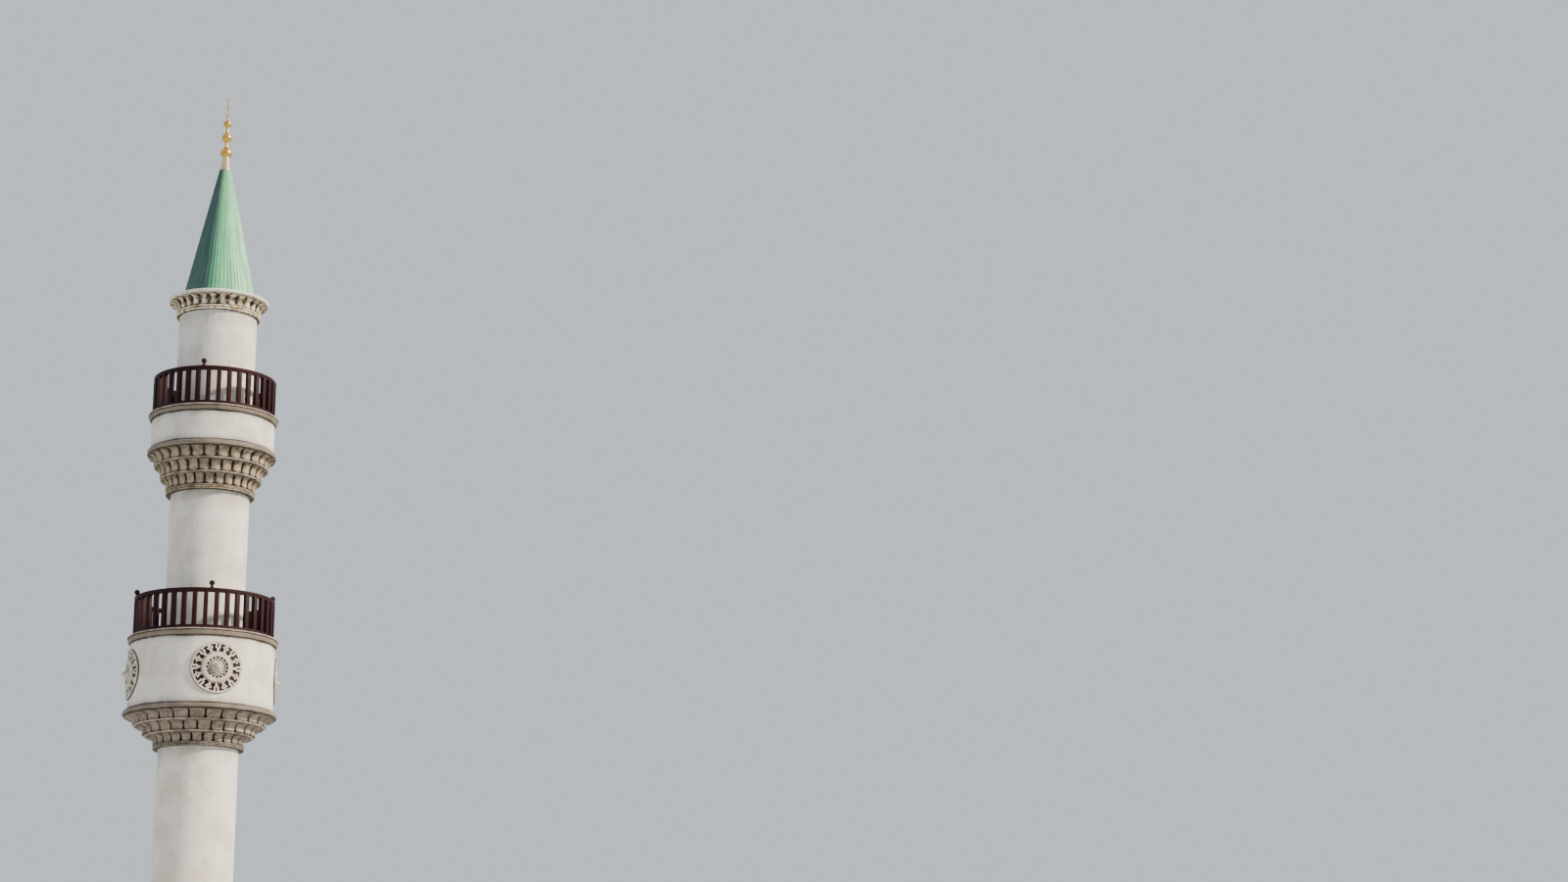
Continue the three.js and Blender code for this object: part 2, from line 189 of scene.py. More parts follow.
LowerBalconySizes = sizes_group("LowerBalconySizes", "Sizes of the lower balcony", balcony_sizes(0))
UpperBalconySizes = sizes_group("UpperBalconySizes", "Sizes of the upper balcony", balcony_sizes(1))
CorniceSizes = sizes_group("CorniceSizes", "Sizes of the cornice under the spire", {
    **corbelling_sizes(2),
    "wall": length("Wall", "Radius at the foot of the blocks", 1.08),
    "nose": length("Nose", "Radius at the top of the blocks", 1.265),
})


class CorbelSizes(bpy.types.PropertyGroup):
    """Sizes that all the corbel tiers share"""
    first_gap: bearing("First gap", "Bearing of the first gap in a bottom tier", 4.7)
    foot: length("Foot", "Upright height of a block under its hollow curve", 0.075)
    roll: length("Roll", "Radius of the thin roll on a deck's edge", 0.018)
    groove: length("Groove", "Height of the sunk lines beside the round mouldings", 0.017)
    edge: length("Edge", "Width of the worn edge round a block", 0.010)


class RailingSizes(bpy.types.PropertyGroup):
    """Sizes that both railings share"""
    handrail_width: length("Handrail width", "Width of the handrail", 0.116)
    handrail_height: length("Handrail height", "Height of the handrail", 0.115)
    foot_width: length("Foot rail width", "Width of the foot rail", 0.110)
    foot_height: length("Foot rail height", "Height of the foot rail", 0.100)
    baluster: length("Baluster", "Side of a square baluster", 0.110)
    ball: length("Ball", "Radius of a ball on the handrail", 0.070)
    neck: length("Neck", "Height of the neck under a ball", 0.050)


class MedallionSizes(bpy.types.PropertyGroup):
    """Sizes of the round medallions on the lower drum"""
    radius: length("Radius", "Outside radius of a medallion", 0.650)
    disc: length("Inner disc", "Radius of the raised inner disc", 0.384)
    lace: length("Lace", "Outer radius of the pierced ring", 0.278)
    boss: length("Boss", "Radius of the pointed boss at its foot", 0.150)
    boss_rise: length("Boss rise", "How far the boss stands out from the drum", 0.208)
    first: bearing("First", "Bearing of the front medallion", 11.5)


class SpireSizes(bpy.types.PropertyGroup):
    """Sizes of the spire and its finial"""
    base_radius: length("Base radius", "Radius at the foot of the spire", reach_of("spire_cone"))
    top_radius: length("Top radius", "Radius at the top of the spire", 0.163)
    seams: count("Seams", "Standing seams round the spire", 56)
    seam_rise: length("Seam rise", "Height of a standing seam at the foot", 0.011)
    rod: length("Rod", "Radius of the rods between the balls", 0.042)
    neck_bottom: length("Neck foot", "Radius at the foot of the gilt neck", 0.150)
    neck_top: length("Neck top", "Radius at the top of the gilt neck", 0.095)
    balls: lengths("Balls", "Radius of each gilt ball, from the lowest", (0.152, 0.130, 0.105))
    crescent_outer: length("Crescent", "Radius of the crescent's outer edge", 0.300)
    crescent_inner: length("Crescent's hollow", "Radius of the crescent's inner edge", 0.240)
    crescent_rise: length("Hollow's rise", "How far the hollow's centre lies over the crescent's", 0.085)
    crescent_depth: length("Crescent depth", "Thickness of the crescent from front to back", 0.060)
    stem: length("Stem", "Height of the stem under the crescent", 0.060)


class MinaretColours(bpy.types.PropertyGroup):
    """Colours of the minaret's finishes"""
    plaster: colour("Plaster", "Lime render on the shaft and drums", "e4ddd2")
    plaster_patch: colour("Plaster patches", "Mottling in the lime render", "d3c9bc")
    corbel: colour("Lower corbels", "Painted stone of the lower corbels", "93887a")
    corbel_patch: colour("Lower corbel patches", "Brown patches on the lower corbels", "756859")
    ochre: colour("Upper corbels", "Painted stone of the upper corbels", "aa9c85")
    ochre_patch: colour("Upper corbel patches", "Ochre patches on the upper corbels", "857052")
    # The cornice's cream is brighter than the corbel stones as painted sunlight
    cornice: colour("Cornice blocks", "Limewash on the blocks under the slab", "f6e9cc")
    cornice_patch: colour("Cornice patches", "Ochre that shows in the cornice blocks", "a8874f")
    moulding: colour("Mouldings", "Round mouldings and deck edges", "7f7466")
    moulding_patch: colour("Moulding patches", "Darker patches on the mouldings", "6e6256")
    bead: colour("Beads and ledges", "Pale limewash on the thin beads and ledges", "b6a795")
    slab: colour("Cornice slab", "Limewash on the slab under the spire", "ece2d2")
    # This dark colour stands for sooting and damp, and for painted shade under ledges, in gaps and in
    # grooves
    soot: colour("Soot", "Soot and damp under ledges and in gaps", "241c16")
    recess: colour("Recess", "Red-brown ground of the medallions", "2c1614")
    railing: colour("Railing", "Old dull paint on the railings", "220207")
    # The faded colour is also a painted highlight on the rails' tops
    railing_faded_and_highlight: colour("Worn railing", "Faded paint on the rails' tops", "38100e")
    # The roof green is the sunlit side; the next colour is a painted shade copy for the side away from the
    # sun
    roof: colour("Roof", "Green paint on the spire", "4bb077")
    roof_painted_shade: colour("Fresh roof", "Dark green paint on the side away from the sun", "1c4a45")
    roof_streak: colour("Roof streaks", "Pale weathered streaks on the spire", "c2f4c8")
    gold: colour("Gold", "Gilding on the finial's balls", "e0b257")
    pale_gold: colour("Pale gold", "Thin old gilding on the finial's neck and crescent", "efd6a4")


class MinaretSettings(bpy.types.PropertyGroup):
    """All the sizes and colours of the minaret"""
    shaft: bpy.props.PointerProperty(name="Shaft", type=ShaftSizes)
    lower: bpy.props.PointerProperty(name="Lower balcony", type=LowerBalconySizes)
    upper: bpy.props.PointerProperty(name="Upper balcony", type=UpperBalconySizes)
    cornice: bpy.props.PointerProperty(name="Cornice", type=CorniceSizes)
    corbel: bpy.props.PointerProperty(name="Corbels", type=CorbelSizes)
    railing: bpy.props.PointerProperty(name="Railings", type=RailingSizes)
    medallion: bpy.props.PointerProperty(name="Medallions", type=MedallionSizes)
    spire: bpy.props.PointerProperty(name="Spire", type=SpireSizes)
    colours: bpy.props.PointerProperty(name="Colours", type=MinaretColours)


# Shapes

def arc(centre_radius, centre_z, radius, start, end, steps):
    """Points of an arc in an outline's plane, between two angles in degrees."""
    points = []
    for i in range(steps + 1):
        angle = math.radians(start + (end - start) * i / steps)
        points.append((centre_radius + radius * math.cos(angle), centre_z + radius * math.sin(angle)))
    return points


def smoothly(low, high, value):
    """Goes smoothly from 0 at low to 1 at high."""
    way = min(max((value - low) / (high - low), 0.0), 1.0)
    return way * way * (3 - 2 * way)


def shift(bm, y, z):
    bmesh.ops.translate(bm, verts=bm.verts[:], vec=(0, y, z))
    return bm


def turn(bm, degrees, axis="Z"):
    matrix = Matrix.Rotation(math.radians(degrees), 3, axis)
    bmesh.ops.rotate(bm, verts=bm.verts[:], cent=(0, 0, 0), matrix=matrix)
    return bm


def spun(outline, steps=ROUND_STEPS, axis="Z"):
    """Spins (radius, height) points a full turn. An outline that starts off the axis is closed."""
    bm = bmesh.new()
    if axis == "Z":
        verts = [bm.verts.new((0, -radius, height)) for radius, height in outline]
    else:
        verts = [bm.verts.new((radius, height, 0)) for radius, height in outline]
    edges = [bm.edges.new(pair) for pair in zip(verts, verts[1:])]
    if outline[0][0] > 0:
        edges.append(bm.edges.new((verts[-1], verts[0])))
    bmesh.ops.spin(
        bm, geom=verts + edges, cent=(0, 0, 0), axis=AXES[axis], angle=2 * math.pi, steps=steps,
        use_merge=True)
    bmesh.ops.remove_doubles(bm, verts=bm.verts[:], dist=0.05 * MILLIMETRE)
    bmesh.ops.recalc_face_normals(bm, faces=bm.faces[:])
    return bm


def swept(outline, first, span, steps):
    """Sweeps (radius, height) points from a first bearing over a span, with closed ends."""
    bm = bmesh.new()
    verts = [bm.verts.new((0, -radius, height)) for radius, height in outline]
    edges = [bm.edges.new(pair) for pair in zip(verts, verts[1:] + verts[:1])]
    bmesh.ops.spin(
        bm, geom=verts + edges, cent=(0, 0, 0), axis=AXES["Z"], angle=math.radians(span), steps=steps)
    bmesh.ops.holes_fill(bm, edges=[edge for edge in bm.edges if edge.is_boundary])
    bmesh.ops.recalc_face_normals(bm, faces=bm.faces[:])
    return turn(bm, first)


def extruded(points):
    """A face extruded to a second end, which still lies on the first, and that end's vertices."""
    bm = bmesh.new()
    face = bm.faces.new([bm.verts.new(point) for point in points])
    first_end = list(face.verts)
    grown = bmesh.ops.extrude_face_region(bm, geom=[face])
    far = [item for item in grown["geom"] if isinstance(item, bmesh.types.BMVert)]
    # Where the extrusion has taken the first face away, it is put back
    if len(bm.faces) == len(points) + 1:
        bm.faces.new(first_end)
    return bm, far


def prism(outline, depth):
    """A prism of (x, z) points that runs from y = -depth to y = 0."""
    bm, far = extruded([(x, -depth, z) for x, z in outline])
    bmesh.ops.translate(bm, verts=far, vec=(0, depth, 0))
    bmesh.ops.recalc_face_normals(bm, faces=bm.faces[:])
    return bm


def absorb(bm, other):
    """Moves all of another bmesh into this one."""
    carrier = bpy.data.meshes.new("carrier")
    other.to_mesh(carrier)
    other.free()
    bm.from_mesh(carrier)
    bpy.data.meshes.remove(carrier)


def repeated(bm, copies, first, spacing, axis="Z"):
    """Turns a shape by a first angle and repeats it round the axis at equal spacings."""
    turn(bm, first, axis)
    if copies > 1:
        everything = bm.verts[:] + bm.edges[:] + bm.faces[:]
        bmesh.ops.spin(
            bm, geom=everything, cent=(0, 0, 0), axis=AXES[axis], steps=copies - 1,
            angle=math.radians(spacing) * (copies - 1), use_duplicate=True)
    return bm


def worn_edges(bm, width, segments=2, least_angle=40):
    """Rounds every edge that is sharper than the least angle."""
    sharp = []
    for edge in bm.edges:
        if edge.is_manifold and edge.calc_face_angle() > math.radians(least_angle):
            sharp.append(edge)
    bmesh.ops.bevel(
        bm, geom=sharp, offset=width, offset_type="OFFSET", segments=segments, profile=0.5,
        affect="EDGES", material=-1, clamp_overlap=True)


def linked(name, data):
    """A new object of the data, in the scene."""
    thing = bpy.data.objects.new(name, data)
    bpy.context.scene.collection.objects.link(thing)
    return thing


def mesh_object(bm, name):
    """An object of a bmesh, which it frees."""
    mesh = bpy.data.meshes.new(name)
    bm.to_mesh(mesh)
    bm.free()
    return linked(name, mesh)


def combined(bm, other, operation):
    """The shape that is left after other is cut from, or crossed with, the first one."""
    base = mesh_object(bm, "base")
    tool = mesh_object(other, "tool")
    modifier = base.modifiers.new("combine", "BOOLEAN")
    modifier.operation = operation
    modifier.solver = "EXACT"
    modifier.use_self = True
    modifier.object = tool
    bpy.context.view_layer.update()
    result = bmesh.new()
    result.from_object(base, bpy.context.evaluated_depsgraph_get())
    for thing in (base, tool):
        mesh = thing.data
        bpy.data.objects.remove(thing)
        bpy.data.meshes.remove(mesh)
    if not result.faces:
        raise RuntimeError("a cut left nothing of the shape")
    return result


def add_piece(bm, name, material, nodes, grime_and_shade=None, tint=None, smooth=32):
    """Makes a finished object of a bmesh, in its place, that stands for CAD nodes.

    The darkening, which holds dirt and painted shade, and the tint are functions of a point's distance from
    the axis, its bearing and its height.
    """
    piece = mesh_object(bm, name)
    mesh = piece.data
    mesh.shade_smooth()
    mesh.set_sharp_from_angle(angle=math.radians(smooth))
    mesh.materials.append(material)
    for attribute_name, measure in (("grime_and_shade", grime_and_shade), ("tint", tint)):
        if measure:
            values = []
            for vertex in mesh.vertices:
                x, y, z = vertex.co
                values.append(measure(math.hypot(x, y), math.degrees(math.atan2(x, -y)), z))
            mesh.attributes.new(attribute_name, "FLOAT", "POINT").data.foreach_set("value", values)
    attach(piece, "root")
    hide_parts(*nodes)


# Materials

# The places of a Mix node's colour sockets, because its number sockets have the same names
FACTOR = 0
FIRST = 6
SECOND = 7
# Nearly all the values of a noise pattern lie in this span
NOISE_SPAN = {"From Min": 0.3, "From Max": 0.7}


def add_node(tree, kind, inputs=None, **settings):
    """Adds a node. An input is a value, a socket, or a node that gives its first active output."""
    node = tree.nodes.new(kind)
    for name, value in settings.items():
        setattr(node, name, value)
    for key, value in (inputs or {}).items():
        if isinstance(value, bpy.types.Node):
            value = next(socket for socket in value.outputs if socket.enabled)
        if isinstance(value, bpy.types.NodeSocket):
            tree.links.new(value, node.inputs[key])
        else:
            node.inputs[key].default_value = value
    return node


def finish(name, shader_inputs):
    """The material of a name, made once: shader_inputs adds nodes and gives the shader's inputs."""
    material = bpy.data.materials.get(name)
    if not material:
        material = bpy.data.materials.new(name)
        material.use_nodes = True
        tree = material.node_tree
        tree.nodes.clear()
        shader = add_node(tree, "ShaderNodeBsdfPrincipled", shader_inputs(tree))
        add_node(tree, "ShaderNodeOutputMaterial", {"Surface": shader})
    return material


def masonry(name, base, patch, soot, patch_size, streaks, relief, roughness):
    """Old masonry: mottled colour, rain streaks, a tint for each block, darkening from sooting and painted
    shade, and a rough face.
    """
    grain_size = 45 * MILLIMETRE
    streak_width = 75 * MILLIMETRE
    streak_length = 1100 * MILLIMETRE

    def shader_inputs(tree):
        place = add_node(tree, "ShaderNodeTexCoord").outputs["Object"]
        broad = add_node(tree, "ShaderNodeTexNoise", {
            "Vector": place, "Scale": 1 / patch_size, "Detail": 5.0, "Roughness": 0.62})
        fine = add_node(tree, "ShaderNodeTexNoise", {
            "Vector": place, "Scale": 1 / grain_size, "Detail": 4.0, "Roughness": 0.7})
        drawn_out = add_node(tree, "ShaderNodeMapping", {
            "Vector": place, "Scale": (1 / streak_width, 1 / streak_width, 1 / streak_length)})
        rain = add_node(tree, "ShaderNodeTexNoise", {
            "Vector": drawn_out, "Scale": 1.0, "Detail": 3.0, "Roughness": 0.55})
        patches = add_node(tree, "ShaderNodeMapRange", {
            "Value": broad, "From Min": 0.40, "From Max": 0.66}, interpolation_type="SMOOTHSTEP")
        mottled = add_node(tree, "ShaderNodeMix", {
            FACTOR: patches, FIRST: base, SECOND: patch}, data_type="RGBA")
        tint = add_node(tree, "ShaderNodeAttribute", attribute_name="tint").outputs["Fac"]
        brightness = add_node(tree, "ShaderNodeMath", {
            0: tint, 1: 0.13, 2: 1.0}, operation="MULTIPLY_ADD")
        grain = add_node(tree, "ShaderNodeMapRange", {
            "Value": fine, **NOISE_SPAN, "To Min": 0.95, "To Max": 1.05})
        value = add_node(tree, "ShaderNodeMath", {0: brightness, 1: grain}, operation="MULTIPLY")
        toned = add_node(tree, "ShaderNodeHueSaturation", {"Color": mottled, "Value": value})
        streak = add_node(tree, "ShaderNodeMapRange", {
            "Value": rain, "From Min": 0.48, "From Max": 0.78, "To Min": 0.0, "To Max": streaks,
        }, interpolation_type="SMOOTHSTEP")
        # The darkening attribute holds stains, and painted shade under ledges and in gaps, grooves and
        # recesses
        grime_and_shade = add_node(tree, "ShaderNodeAttribute", attribute_name="grime_and_shade").outputs["Fac"]
        uneven = add_node(tree, "ShaderNodeMapRange", {
            "Value": broad, **NOISE_SPAN, "To Min": 0.55, "To Max": 1.25})
        spread = add_node(tree, "ShaderNodeMath", {
            0: grime_and_shade, 1: uneven, 2: streak}, operation="MULTIPLY_ADD", use_clamp=True)
        dirty_and_shaded = add_node(tree, "ShaderNodeMix", {
            FACTOR: spread, FIRST: toned, SECOND: soot}, data_type="RGBA")
        matt = add_node(tree, "ShaderNodeMapRange", {
            "Value": fine, **NOISE_SPAN, "To Min": roughness - 0.08, "To Max": min(roughness + 0.08, 1.0)})
        height = add_node(tree, "ShaderNodeMath", {0: broad, 1: 2.0, 2: fine}, operation="MULTIPLY_ADD")
        bump = add_node(tree, "ShaderNodeBump", {"Height": height, "Distance": relief, "Strength": 0.8})
        return {"Base Color": dirty_and_shaded, "Roughness": matt, "Normal": bump, "IOR": 1.5}

    return finish(name, shader_inputs)


def lime_render(colours):
    """Lime render, laid on by trowel: chalky off-white, softly mottled, with faint rain streaks."""
    return masonry(
        "lime_render", colours.plaster, colours.plaster_patch, colours.soot,
        patch_size=550 * MILLIMETRE, streaks=0.10, relief=5 * MILLIMETRE, roughness=0.88)


def painted_corbel_stone(colours):
    """Carved limestone under old tan limewash: warm, patchy, and dark under its ledges with sooting and
    painted shade.
    """
    return masonry(
        "painted_corbel_stone", colours.corbel, colours.corbel_patch, colours.soot,
        patch_size=160 * MILLIMETRE, streaks=0.22, relief=4 * MILLIMETRE, roughness=0.86)


def ochre_corbel_stone(colours):
    """Carved limestone with ochre showing through pale limewash, dark in its gaps with sooting and painted
    shade.
    """
    return masonry(
        "ochre_corbel_stone", colours.ochre, colours.ochre_patch, colours.soot,
        patch_size=140 * MILLIMETRE, streaks=0.30, relief=4 * MILLIMETRE, roughness=0.86)


def cornice_stone_painted_sunlit(colours):
    """Carved limestone of the cornice: cream limewash made brighter than the corbel stone below as painted
    sunlight, with ochre patches.
    """
    return masonry(
        "cornice_stone_painted_sunlit", colours.cornice, colours.cornice_patch, colours.soot,
        patch_size=120 * MILLIMETRE, streaks=0.20, relief=4 * MILLIMETRE, roughness=0.86)


def run_moulding_plaster(colours):
    """Plaster run with a template: smoother than the render, grey-brown with darker patches."""
    return masonry(
        "run_moulding_plaster", colours.moulding, colours.moulding_patch, colours.soot,
        patch_size=300 * MILLIMETRE, streaks=0.16, relief=2.5 * MILLIMETRE, roughness=0.8)


def limewashed_bead(colours):
    """Limewashed beads and ledges: thin lines of pale beige that catch the light."""
    return masonry(
        "limewashed_bead", colours.bead, colours.moulding, colours.soot,
        patch_size=250 * MILLIMETRE, streaks=0.12, relief=2 * MILLIMETRE, roughness=0.82)


def limewashed_slab(colours):
    """Fresh limewash over the slab: cream-white and almost clean, so it shines under the spire."""
    return masonry(
        "limewashed_slab", colours.slab, colours.plaster_patch, colours.soot,
        patch_size=400 * MILLIMETRE, streaks=0.05, relief=2 * MILLIMETRE, roughness=0.8)


def cast_medallion_plaster(colours):
    """Cast gypsum relief over a red-brown ground: pale raised bands, dark recesses between them."""
    return masonry(
        "cast_medallion_plaster", colours.plaster_patch, colours.bead, colours.recess,
        patch_size=220 * MILLIMETRE, streaks=0.05, relief=2 * MILLIMETRE, roughness=0.82)


def old_oil_paint(colours):
    """Dark maroon oil paint on wood: brushed on, dull with age, faded in patches, and lighter on faces that
    look up as sun fading with a painted highlight.
    """
    wear_size = 120 * MILLIMETRE
    stroke_width = 12 * MILLIMETRE
    stroke_length = 250 * MILLIMETRE

    def shader_inputs(tree):
        place = add_node(tree, "ShaderNodeTexCoord").outputs["Object"]
        wear = add_node(tree, "ShaderNodeTexNoise", {
            "Vector": place, "Scale": 1 / wear_size, "Detail": 5.0, "Roughness": 0.65})
        brush = add_node(tree, "ShaderNodeMapping", {
            "Vector": place, "Scale": (1 / stroke_width, 1 / stroke_width, 1 / stroke_length)})
        strokes = add_node(tree, "ShaderNodeTexNoise", {"Vector": brush, "Scale": 1.0, "Detail": 2.0})
        facing = add_node(tree, "ShaderNodeNewGeometry").outputs["Normal"]
        up = add_node(tree, "ShaderNodeSeparateXYZ", {0: facing}).outputs["Z"]
        # Painted highlight with sun fading: faces that look up are lighter
        upward_fade_and_highlight = add_node(tree, "ShaderNodeMapRange", {
            "Value": up, "From Min": 0.1, "From Max": 0.9, "To Min": 0.0, "To Max": 0.55})
        faded = add_node(tree, "ShaderNodeMapRange", {
            "Value": wear, "From Min": 0.45, "From Max": 0.7, "To Min": 0.0, "To Max": 0.35})
        amount = add_node(tree, "ShaderNodeMath", {0: upward_fade_and_highlight, 1: faded}, operation="ADD", use_clamp=True)
        shown = add_node(tree, "ShaderNodeMix", {
            FACTOR: amount, FIRST: colours.railing, SECOND: colours.railing_faded_and_highlight}, data_type="RGBA")
        gloss = add_node(tree, "ShaderNodeMapRange", {
            "Value": wear, **NOISE_SPAN, "To Min": 0.55, "To Max": 0.75})
        bump = add_node(tree, "ShaderNodeBump", {
            "Height": strokes, "Distance": 0.8 * MILLIMETRE, "Strength": 0.7})
        return {
            "Base Color": shown, "Roughness": gloss, "Normal": bump, "IOR": 1.5, "Specular IOR Level": 0.2}

    return finish("old_oil_paint", shader_inputs)


def painted_roof_sheet(colours):
    """Painted sheet metal: green, dark as painted shade away from the sun, with chalky runs stronger on the
    sunlit side.
    """
    # The runs lie on the cone rolled flat. One is about 70 mm wide at the cone's foot and 1.8 m long.
    across_per_radian = 9.0
    down_per_metre = 0.35
    runs_scale = 1.6
    blotch_size = 300 * MILLIMETRE

    def shader_inputs(tree):
        place = add_node(tree, "ShaderNodeTexCoord").outputs["Object"]
        parts = add_node(tree, "ShaderNodeSeparateXYZ", {0: place})
        forward = add_node(tree, "ShaderNodeMath", {0: parts.outputs["Y"], 1: -1.0}, operation="MULTIPLY")
        bearing_round = add_node(tree, "ShaderNodeMath", {
            0: parts.outputs["X"], 1: forward}, operation="ARCTAN2")
        sideways = add_node(tree, "ShaderNodeMath", {0: bearing_round}, operation="SINE")
        across = add_node(tree, "ShaderNodeMath", {
            0: bearing_round, 1: across_per_radian}, operation="MULTIPLY")
        down = add_node(tree, "ShaderNodeMath", {
            0: parts.outputs["Z"], 1: down_per_metre}, operation="MULTIPLY")
        unrolled = add_node(tree, "ShaderNodeCombineXYZ", {0: across, 1: down})
        runs = add_node(tree, "ShaderNodeTexNoise", {
            "Vector": unrolled, "Scale": runs_scale, "Detail": 5.0, "Roughness": 0.7})
        blotches = add_node(tree, "ShaderNodeTexNoise", {
            "Vector": place, "Scale": 1 / blotch_size, "Detail": 4.0, "Roughness": 0.6})
        pale = add_node(tree, "ShaderNodeMapRange", {
            "Value": runs, "From Min": 0.40, "From Max": 0.62, "To Min": 0.0, "To Max": 0.9})
        # Painted shade: the green darkens on the side away from the sun
        painted_sun_side = add_node(tree, "ShaderNodeMapRange", {
            "Value": sideways, "From Min": -0.45, "From Max": -0.05}, interpolation_type="SMOOTHSTEP")
        # Painted light: the pale runs grow stronger towards the sunlit side
        painted_lit_side_chalk = add_node(tree, "ShaderNodeMapRange", {
            "Value": sideways, "From Min": -0.2, "From Max": 0.8, "To Min": 0.12, "To Max": 1.0})
        chalk = add_node(tree, "ShaderNodeMath", {0: pale, 1: painted_lit_side_chalk}, operation="MULTIPLY")
        paint = add_node(tree, "ShaderNodeMix", {
            FACTOR: painted_sun_side, FIRST: colours.roof_painted_shade, SECOND: colours.roof}, data_type="RGBA")
        streaky = add_node(tree, "ShaderNodeMix", {
            FACTOR: chalk, FIRST: paint, SECOND: colours.roof_streak}, data_type="RGBA")
        shade = add_node(tree, "ShaderNodeMapRange", {
            "Value": blotches, **NOISE_SPAN, "To Min": 0.88, "To Max": 1.1})
        toned = add_node(tree, "ShaderNodeHueSaturation", {"Color": streaky, "Value": shade})
        # Painted shade at the roof's foot, with darker lines along the seams
        grime_and_shade = add_node(tree, "ShaderNodeAttribute", attribute_name="grime_and_shade").outputs["Fac"]
        dirty_and_shaded = add_node(tree, "ShaderNodeMix", {
            FACTOR: grime_and_shade, FIRST: toned, SECOND: colours.soot}, data_type="RGBA")
        chalky = add_node(tree, "ShaderNodeMapRange", {
            "Value": runs, **NOISE_SPAN, "To Min": 0.42, "To Max": 0.68})
        bump = add_node(tree, "ShaderNodeBump", {
            "Height": blotches, "Distance": 2 * MILLIMETRE, "Strength": 0.4})
        return {"Base Color": dirty_and_shaded, "Roughness": chalky, "Normal": bump, "IOR": 1.5}

    return finish("painted_roof_sheet", shader_inputs)


def gilding(name, gold):
    """Gold leaf on beaten sheet: a soft warm shine, dulled in patches by the weather."""
    dull_size = 70 * MILLIMETRE
    dent_size = 28 * MILLIMETRE

    def shader_inputs(tree):
        place = add_node(tree, "ShaderNodeTexCoord").outputs["Object"]
        dulled = add_node(tree, "ShaderNodeTexNoise", {
            "Vector": place, "Scale": 1 / dull_size, "Detail": 4.0, "Roughness": 0.6})
        beaten = add_node(tree, "ShaderNodeTexVoronoi", {"Vector": place, "Scale": 1 / dent_size})
        value = add_node(tree, "ShaderNodeMapRange", {
            "Value": dulled, **NOISE_SPAN, "To Min": 0.75, "To Max": 1.08})
        toned = add_node(tree, "ShaderNodeHueSaturation", {"Color": gold, "Value": value})
        shine = add_node(tree, "ShaderNodeMapRange", {
            "Value": dulled, **NOISE_SPAN, "To Min": 0.48, "To Max": 0.28})
        bump = add_node(tree, "ShaderNodeBump", {
            "Height": beaten, "Distance": 1.5 * MILLIMETRE, "Strength": 0.4})
        return {"Base Color": toned, "Roughness": shine, "Normal": bump, "Metallic": 1.0}

    return finish(name, shader_inputs)


def gilt_copper(colours):
    """Full gilding on copper: the deep orange-gold of the balls."""
    return gilding("gilt_copper", colours.gold)


def pale_gilt_brass(colours):
    """Thin gilding on brass: the pale gold of the neck and the crescent."""
    return gilding("pale_gilt_brass", colours.pale_gold)


# The shaft

def bore_of(settings):
    """The radius of the hole in a ring that the shaft passes through."""
    return settings.shaft.radius + SEAT_GAP


def wall_outline(inner, outer, bottom, top, levels):
    """An upright wall's outline, with points up its outer face at shares of its height."""
    face = [(outer, bottom + (top - bottom) * level) for level in levels]
    return [(inner, bottom), *face, (inner, top)]


def doorway_cutter(shaft, floor):
    """A bar with a round head, as wide as a doorway, that passes through the rear wall alone."""
    half = shaft.door_width / 2
    head = arc(0, floor + shaft.door_springing, half, 0, 180, 24)
    cutter = prism([(-half, floor), (half, floor), *head], shaft.radius)
    return shift(cutter, 1.25 * shaft.radius, 0)


def shaft_darkening(collars):
    """Darker for a stretch under each collar, and splashed dirt at the ground."""
    splash_height = 0.9
    darker_length = 0.55

    def measure(radius, bearing_degrees, z):
        amount = 0.22 * smoothly(splash_height, 0.0, z)
        for level in collars:
            if z < level:
                amount = max(amount, 0.35 * smoothly(level - darker_length, level, z))
        return amount
    return measure


class MINARET_OT_shaft(bpy.types.Operator):
    """Builds the base slab and the shaft, a round wall with three doorways at the rear"""
    bl_idname = "minaret.shaft"
    bl_label = "Shaft"

    def execute(self, context):
        settings = context.scene.minaret
        shaft = settings.shaft
        plaster = lime_render(settings.colours)
        grime_and_shade = shaft_darkening([
            bottom_of("lower_corbel_bottom_tier"), bottom_of("upper_corbel_bottom_tier"),
            bottom_of("cornice_corbels")])
        steps = 96
        row_height = 0.18
        bottom = bottom_of("shaft_front")
        top = top_of("shaft_front")
        rows = round((top - bottom) / row_height)
        levels = [i / rows for i in range(rows + 1)]
        wall = spun(wall_outline(shaft.radius - shaft.wall, shaft.radius, bottom, top, levels), steps)
        nodes = ["shaft_front", "shaft_right", "shaft_left"]
        for doorway, storey in DOORWAYS.items():
            jambs = [f"{doorway}_door_{side}_jamb" for side in ("left", "right")]
            wall = combined(wall, doorway_cutter(shaft, bottom_of(jambs[0])), "DIFFERENCE")
            nodes += [*jambs, f"shaft_rear_{storey}"]
        add_piece(wall, "shaft_wall", plaster, nodes, grime_and_shade)
        edge = 0.015
        height = top_of("base_slab")
        slab = spun([
            (0, 0), (shaft.radius - edge, 0), (shaft.radius, edge), (shaft.radius, height), (0, height),
        ], steps)
        add_piece(slab, "base_slab_disc", plaster, ["base_slab"], grime_and_shade)
        return {"FINISHED"}


# The corbelling

# The share of each bead's height in a collar that is groove
BEAD_GROOVE = 0.40


